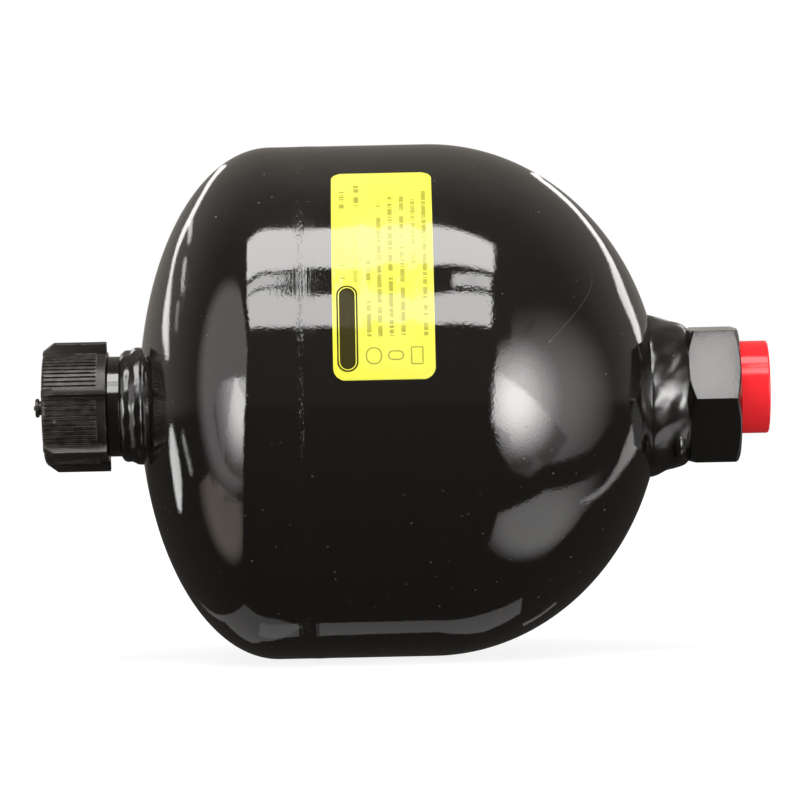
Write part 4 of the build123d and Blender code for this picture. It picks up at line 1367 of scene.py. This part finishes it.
# %% Helper that mixes the black paint
def black_paint(name, roughness, peel, wave, dust, chips, grind=0.0):
    """Gloss black enamel: orange peel, dust, chips, scratches, grinding lines, and a painted paler
    top.
    """
    material, tree, output = new_material(name)
    paint = principled(tree, output, ior=1.6, specular=1.0)
    point = object_point(tree)

    height = use(tree, peel_effect, point=point, peel=peel, wave=wave)["Height"]
    if grind:
        height = grinding(tree, point, grind, height)
    specks = use(tree, dust_effect, point=point, cells=210.0, size=0.085, share=dust)["Mask"]
    fluff = use(tree, dust_effect, point=point, cells=520.0, size=0.12, share=dust)["Mask"]
    specks = math_node(tree, "MAXIMUM", specks, fluff)
    chipped = use(tree, chip_effect, point=point, scale=160.0, amount=chips)["Mask"]
    scratched = use(tree, scratch_effect, point=point, scale=9.0, amount=0.5)["Mask"]

    # Faces turned up are paler: this is painted top light, mixed with some lying dust.
    facing_up = axes(tree, tree.nodes.new("ShaderNodeNewGeometry").outputs["Normal"])[2]
    patchy = ramp(tree, clouds(tree, point, 60.0, detail=5.0, roughness=0.7), 0.3, 0.7)
    top_light_and_dust_mask = times(tree, ramp(tree, facing_up, TOP_LIGHT_FROM, TOP_LIGHT_FULL),
                  on_top(tree, patchy, 0.5, 0.35))
    colour = colour_mix(tree, top_light_and_dust_mask, PAINT_BLACK, TOP_LIGHT_AND_DUST)
    colour = colour_mix(tree, scratched, colour, DUST_BROWN)
    colour = colour_mix(tree, specks, colour, SPECK_GREY)
    feed(tree, paint.inputs["Base Color"], colour_mix(tree, chipped, colour, PRIMER_GREY))

    rough = on_top(tree, patchy, 0.03, roughness)
    rough = on_top(tree, top_light_and_dust_mask, 0.05, rough)
    for mask in (specks, chipped):
        rough = on_top(tree, mask, 0.5, rough)
    feed(tree, paint.inputs["Roughness"], rough)
    height = on_top(tree, specks, SPECK_RISE, height)
    height = on_top(tree, chipped, CHIP_SINK, height)
    bumped(tree, paint, height, MM)
    print(name, "has", len(tree.nodes), "nodes")
    return material

# %% The four coats
vessel_paint = black_paint(
    "vessel_enamel", roughness=0.035, peel=0.016, wave=0.05, dust=0.5, chips=0.0)
fitting_paint = black_paint(
    "fitting_enamel", roughness=0.07, peel=0.005, wave=0.04, dust=0.45, chips=0.01)
weld_paint = black_paint(
    "weld_enamel", roughness=0.19, peel=0.012, wave=0.03, dust=0.5, chips=0.01)
ground_paint = black_paint(
    "ground_weld_enamel", roughness=0.07, peel=0.012, wave=0.05, dust=0.5, chips=0.02,
    grind=0.05)

# %% [markdown]
# The cap is moulded in black polyethylene, which is never quite black: it is a satin,
# warm charcoal with a faint flow pattern. Its ribs and wings are painted paler at their
# edges, as a highlight where the edges catch the light and as wear where hands and
# gloves have rubbed them. The Bevel node feels how sharp an edge is, and the
# difference between its normal and the true one is a ready mask for those edges. The
# red plug lets some light through its thin wall, and a faint glow of its own colour
# stands in for that, because light spread under the skin would render far slower.

# %% Shared effect: painted edge highlight and wear
SHARPNESS = (0.995, 0.9)    # agreement of the two normals on a flat, and on an edge

edge_effect, given, out = group(
    "painted_edge_highlight_and_wear", {"Point": POINT, "Radius": NUMBER, "Amount": NUMBER}, ["Mask"])
bevel = edge_effect.nodes.new("ShaderNodeBevel")
bevel.samples = 4
feed(edge_effect, bevel.inputs["Radius"], given["Radius"])
true_normal = edge_effect.nodes.new("ShaderNodeNewGeometry").outputs["Normal"]
agreement = edge_effect.nodes.new("ShaderNodeVectorMath")
agreement.operation = "DOT_PRODUCT"
edge_effect.links.new(bevel.outputs[0], agreement.inputs[0])
edge_effect.links.new(true_normal, agreement.inputs[1])
edge = ramp(edge_effect, agreement.outputs["Value"], *SHARPNESS)
uneven = ramp(edge_effect, clouds(edge_effect, given["Point"], 400.0, detail=4.0), 0.35, 0.65)
feed(edge_effect, out["Mask"], times(
    edge_effect, times(edge_effect, edge, uneven), given["Amount"]))
print(len(bpy.data.node_groups), "shared effects")

# %% Moulded plastics
SHADE = 0.82                # how dark the flow marks are, as a share of the colour
SPECK_PALE = 0.6
EDGE_HIGHLIGHT_RADIUS = 0.35 * MM


def moulded(name, colour, pale, roughness, edge_light_and_wear, flow, dust=0.3, lit=0.0):
    """Moulded plastic: flow marks, fine grain, painted edge highlight with wear, and dust."""
    material, tree, output = new_material(name)
    plastic = principled(tree, output)
    point = object_point(tree)
    streaks = clouds(tree, stretched(tree, point, 0.35, 1, 1), 140.0, detail=3.0,
                     distortion=0.6)
    streaks = ramp(tree, streaks, 0.35, 0.65)
    edge_light_and_wear = use(tree, edge_effect, point=point, radius=EDGE_HIGHLIGHT_RADIUS, amount=edge_light_and_wear)["Mask"]
    specks = use(tree, dust_effect, point=point, cells=420.0, size=0.3, share=dust)["Mask"]
    shade = tuple(part * SHADE for part in colour)
    mixed = colour_mix(tree, times(tree, streaks, flow), colour, shade)
    # Edges are painted paler, as a highlight and as wear, and dust specks are paler too.
    mixed = colour_mix(tree, math_node(
        tree, "MAXIMUM", edge_light_and_wear, times(tree, specks, SPECK_PALE)), mixed, pale)
    feed(tree, plastic.inputs["Base Color"], mixed)
    feed(tree, plastic.inputs["Emission Color"], mixed)
    plastic.inputs["Emission Strength"].default_value = lit
    rough = on_top(tree, streaks, 0.06, roughness)
    feed(tree, plastic.inputs["Roughness"], on_top(tree, specks, 0.3, rough))
    grain = clouds(tree, point, 1500.0, detail=2.0)
    height = on_top(tree, streaks, 0.02, times(tree, grain, roughness * 0.02))
    bumped(tree, plastic, height, MM)
    print(name, "has", len(tree.nodes), "nodes")
    return material


# The second colour is the pale of the edges (painted highlight and wear) and of dust.
cap_plastic = moulded("cap_polyethylene", (0.036, 0.031, 0.027), (0.30, 0.28, 0.25),
                      roughness=0.29, edge_light_and_wear=1.0, flow=0.8)
plug_plastic = moulded("plug_red", (0.93, 0.026, 0.034), (0.95, 0.16, 0.15),
                       roughness=0.13, edge_light_and_wear=0.25, flow=0.25, dust=0.12, lit=0.22)
button_plastic = moulded("button_acetal", (0.75, 0.73, 0.66), (0.85, 0.83, 0.78),
                         roughness=0.4, edge_light_and_wear=0.3, flow=0.4, dust=0.2)

# %% [markdown]
# The rubber inside is matt black with a fine mould grain and a bloom of talc. The
# screw and the clamping ring are zinc-plated turned steel: fine rings round the axis,
# a little uneven in sheen. The rings are noise read at how far along the axis and how
# far off it a point lies, which also works on a cone; a wave texture would make them
# too even. Both finishes are seen only when the vessel is taken apart.

# %% Rubber and turned steel
def moulded_rubber(name):
    """Matt black rubber with a mould grain and a pale bloom."""
    material, tree, output = new_material(name)
    rubber = principled(tree, output)
    point = object_point(tree)
    bloom = ramp(tree, clouds(tree, point, 45.0, detail=6.0, roughness=0.7), 0.4, 0.75)
    feed(tree, rubber.inputs["Base Color"], colour_mix(
        tree, bloom, (0.018, 0.018, 0.018), (0.055, 0.053, 0.05)))
    feed(tree, rubber.inputs["Roughness"], on_top(tree, bloom, 0.2, 0.62))
    bumped(tree, rubber, times(tree, clouds(tree, point, 1800.0, detail=3.0), 0.05), MM)
    return material


def turned_steel(name):
    """Zinc-plated steel with the fine rings of a lathe tool."""
    material, tree, output = new_material(name)
    steel = principled(tree, output)
    steel.inputs["Metallic"].default_value = 1.0
    point = object_point(tree)
    x, y, z = axes(tree, point)
    rings = tree.nodes.new("ShaderNodeCombineXYZ")
    tree.links.new(x, rings.inputs[0])
    tree.links.new(distance(tree, y, z), rings.inputs[1])
    cuts = clouds(tree, rings.outputs[0], 4000.0, detail=3.0)
    patchy = clouds(tree, point, 90.0, detail=4.0)
    feed(tree, steel.inputs["Base Color"], colour_mix(
        tree, ramp(tree, patchy, 0.35, 0.7), (0.56, 0.56, 0.55), (0.46, 0.45, 0.43)))
    feed(tree, steel.inputs["Roughness"], on_top(tree, cuts, 0.25, 0.16))
    bumped(tree, steel, times(tree, cuts, 0.008), MM)
    return material


rubber_finish = moulded_rubber("moulded_rubber")
steel_finish = turned_steel("zinc_plated_steel")
print(len(bpy.data.materials), "materials so far")

# %% [markdown]
# The label is yellow film printed in black. Nothing on it can be read: a dark rounded
# field, columns of dashes where a table and notes would be, and a row of plain
# outlines. The print is worked out on two measures of the film itself, how far along
# the vessel and how far round it, so it follows the curve without an image. Both are
# millimetres, and every mask below is given its place in them.

# %% The label's two measures, and its masks
FIELD_BLUR, DASH_BLUR, OUTLINE_BLUR = 0.12, 0.2, 0.15        # mm
DASH_CUTS = ((0.42, 0.8), (1.9, 0.88), (6.1, 0.94))          # length in mm, share kept
label_finish, tree, output = new_material("label_film_print")
point = object_point(tree)
x, y, z = axes(tree, point)
along = math_node(tree, "DIVIDE", math_node(tree, "SUBTRACT", x, label_start_x), MM)
angle = math_node(tree, "ARCTAN2", z, times(tree, y, -1.0))
round_mm = times(tree, math_node(
    tree, "SUBTRACT", angle, LABEL_TURN - LABEL_ARC / 2), VESSEL_RADIUS / MM)
print("the film is %.1f mm along and %.1f mm round" % (
    (label_end_x - label_start_x) / MM, LABEL_ARC * VESSEL_RADIUS / MM))


def field(low_along, high_along, low_round, high_round, corner=0.0, blur=FIELD_BLUR):
    """Mask of a printed field with rounded corners."""
    parts = []
    for measure, low, high in ((along, low_along, high_along), (round_mm, low_round, high_round)):
        away = math_node(tree, "ABSOLUTE", math_node(tree, "SUBTRACT", measure, (low + high) / 2))
        parts.append(math_node(tree, "MAXIMUM", math_node(
            tree, "SUBTRACT", away, (high - low) / 2 - corner), 0.0))
    return ramp(tree, distance(tree, *parts), corner + blur, corner)


def ring(low_along, high_along, low_round, high_round, corner, width, inner, blur):
    """Mask of an outline: a field without the smaller field inside it."""
    return math_node(
        tree, "SUBTRACT",
        field(low_along, high_along, low_round, high_round, corner, blur),
        field(low_along + width, high_along - width, low_round + width, high_round - width,
              inner, blur))


def dashes(middle_along, width, low_round, high_round, strength, seed):
    """A column of uneven dashes, as rows of small print look from afar."""
    column = field(middle_along - width / 2, middle_along + width / 2,
                   low_round, high_round, blur=DASH_BLUR)
    for length, share in DASH_CUTS:
        cell = tree.nodes.new("ShaderNodeTexWhiteNoise")
        cell.noise_dimensions = "2D"
        place = tree.nodes.new("ShaderNodeCombineXYZ")
        feed(tree, place.inputs[0], math_node(tree, "FLOOR", math_node(
            tree, "DIVIDE", round_mm, length)))
        place.inputs[1].default_value = seed + length
        tree.links.new(place.outputs[0], cell.inputs["Vector"])
        column = times(tree, column, math_node(
            tree, "LESS_THAN", cell.outputs["Value"], share))
    return times(tree, column, strength)

# %% [markdown]
# The dark field has a thin yellow line just inside its edge. The dashes are ten
# columns, each given its middle and width along the film, its two ends round it, and
# how black it is, and their lengths come from white noise on a few coarse grids. Real
# words would be text turned to a mesh, but this label says nothing.

# %% What is printed
DASH_COLUMNS = (
    (3.1, 1.3, 57.6, 71.0, 0.55), (7.5, 1.3, 57.9, 71.4, 0.55), (7.1, 1.2, 30.5, 48.3, 0.30),
    (3.2, 1.3, 31.8, 37.0, 0.55), (10.9, 1.1, 13.2, 38.5, 0.5), (14.2, 1.1, 13.2, 61.0, 0.5),
    (17.6, 1.1, 13.2, 64.0, 0.52), (21.1, 1.1, 13.2, 64.0, 0.5),
    (24.5, 1.1, 27.5, 64.5, 0.46), (27.8, 1.1, 13.2, 67.0, 0.5),
)
SEED_STEP = 7.0
OUTLINES = ((9.8, 14.5, 4.7, 9.8, 2.3), (16.4, 21.0, 5.9, 8.7, 1.35),
            (23.2, 26.8, 4.5, 9.8, 0.4))
OUTLINE_WIDTH, OUTLINE_BLACK = 0.4, 0.6
BLOCK_BLACK = 0.97

block = math_node(
    tree, "SUBTRACT", field(1.3, 7.5, 2.6, 29.4, corner=3.0),
    ring(1.8, 7.0, 3.1, 28.9, corner=2.6, width=0.3, inner=2.3, blur=FIELD_BLUR))
prints = [dashes(*column, number * SEED_STEP) for number, column in enumerate(DASH_COLUMNS)]
for *sides, corner in OUTLINES:
    outline = ring(*sides, corner, OUTLINE_WIDTH, max(corner - OUTLINE_WIDTH, 0.1),
                   OUTLINE_BLUR)
    prints.append(times(tree, outline, OUTLINE_BLACK))
ink = prints[0]
for mask in prints[1:]:
    ink = math_node(tree, "MAXIMUM", ink, mask)
worn = ramp(tree, clouds(tree, point, 700.0, detail=2.0), 0.25, 0.5, 0.6, 1.0)
ink = math_node(tree, "MAXIMUM", times(tree, ink, worn), times(tree, block, BLOCK_BLACK),
                clamp=True)
print(len(prints), "masks in the label's print")

# %% [markdown]
# The film itself is glossy and was smoothed on by hand, which leaves soft upright
# waves in it. The ink of the dark field is duller than the bare film. A roughness
# alone would make it dull too, but also pale, so its specular level is taken down.

# %% The label's film
FILM_YELLOW = (0.90, 0.87, 0.075)
FILM_PALE = (0.93, 0.90, 0.14)
PRINT_BLACK = (0.018, 0.014, 0.008)
FILM_SPECULAR, BLOCK_DULL = 0.5, -0.42
WAVE_HEIGHT = 0.5           # mm

film = principled(tree, output)
fade = ramp(tree, clouds(tree, point, 30.0, detail=3.0), 0.35, 0.7)
colour = colour_mix(tree, fade, FILM_YELLOW, FILM_PALE)
feed(tree, film.inputs["Base Color"], colour_mix(tree, ink, colour, PRINT_BLACK))
feed(tree, film.inputs["Roughness"], on_top(
    tree, clouds(tree, point, 250.0, detail=4.0), 0.1, 0.06))
waves = clouds(tree, stretched(tree, point, 1, 0.4, 0.4), 170.0, detail=2.0)
skin = use(tree, peel_effect, point=point, peel=0.008, wave=0.06)["Height"]
feed(tree, film.inputs["Specular IOR Level"], on_top(tree, block, BLOCK_DULL, FILM_SPECULAR))
bumped(tree, film, on_top(tree, waves, WAVE_HEIGHT, skin), MM)
print(len(tree.nodes), "nodes in the label's print")

# %% [markdown]
# Last, every piece gets its finish: the new pieces by name, and the plain nodes by
# the material slot that the record gives them, so that nothing is left bare. Each
# could get it where it is made, but here all the pairs can be read in one place.

# %% Finishes by piece and by slot
slot_finish = {
    "black_paint": fitting_paint,
    "painted_weld": weld_paint,
    "bright_steel": steel_finish,
    "cap_plastic": cap_plastic,
    "plug_plastic": plug_plastic,
    "button_plastic": button_plastic,
    "rubber": rubber_finish,
    "label_film": label_finish,
}
for row in frame["record"]["subparts"]:
    node = frame["nodes"][row["node"]]
    node.data.materials.clear()
    node.data.materials.append(slot_finish[row["material_slot"]])
for piece, finish in (
    (gas_half, vessel_paint), (fluid_half, vessel_paint), (girth, ground_paint),
    (neck, fitting_paint), (neck_weld, weld_paint), (port, fitting_paint),
    (port_weld, weld_paint), (cap, cap_plastic), (plug, plug_plastic),
    (label, label_finish), (separator, rubber_finish),
):
    piece.data.materials.clear()
    piece.data.materials.append(finish)
print(len(bpy.data.materials), "materials in all, lights and floor included")
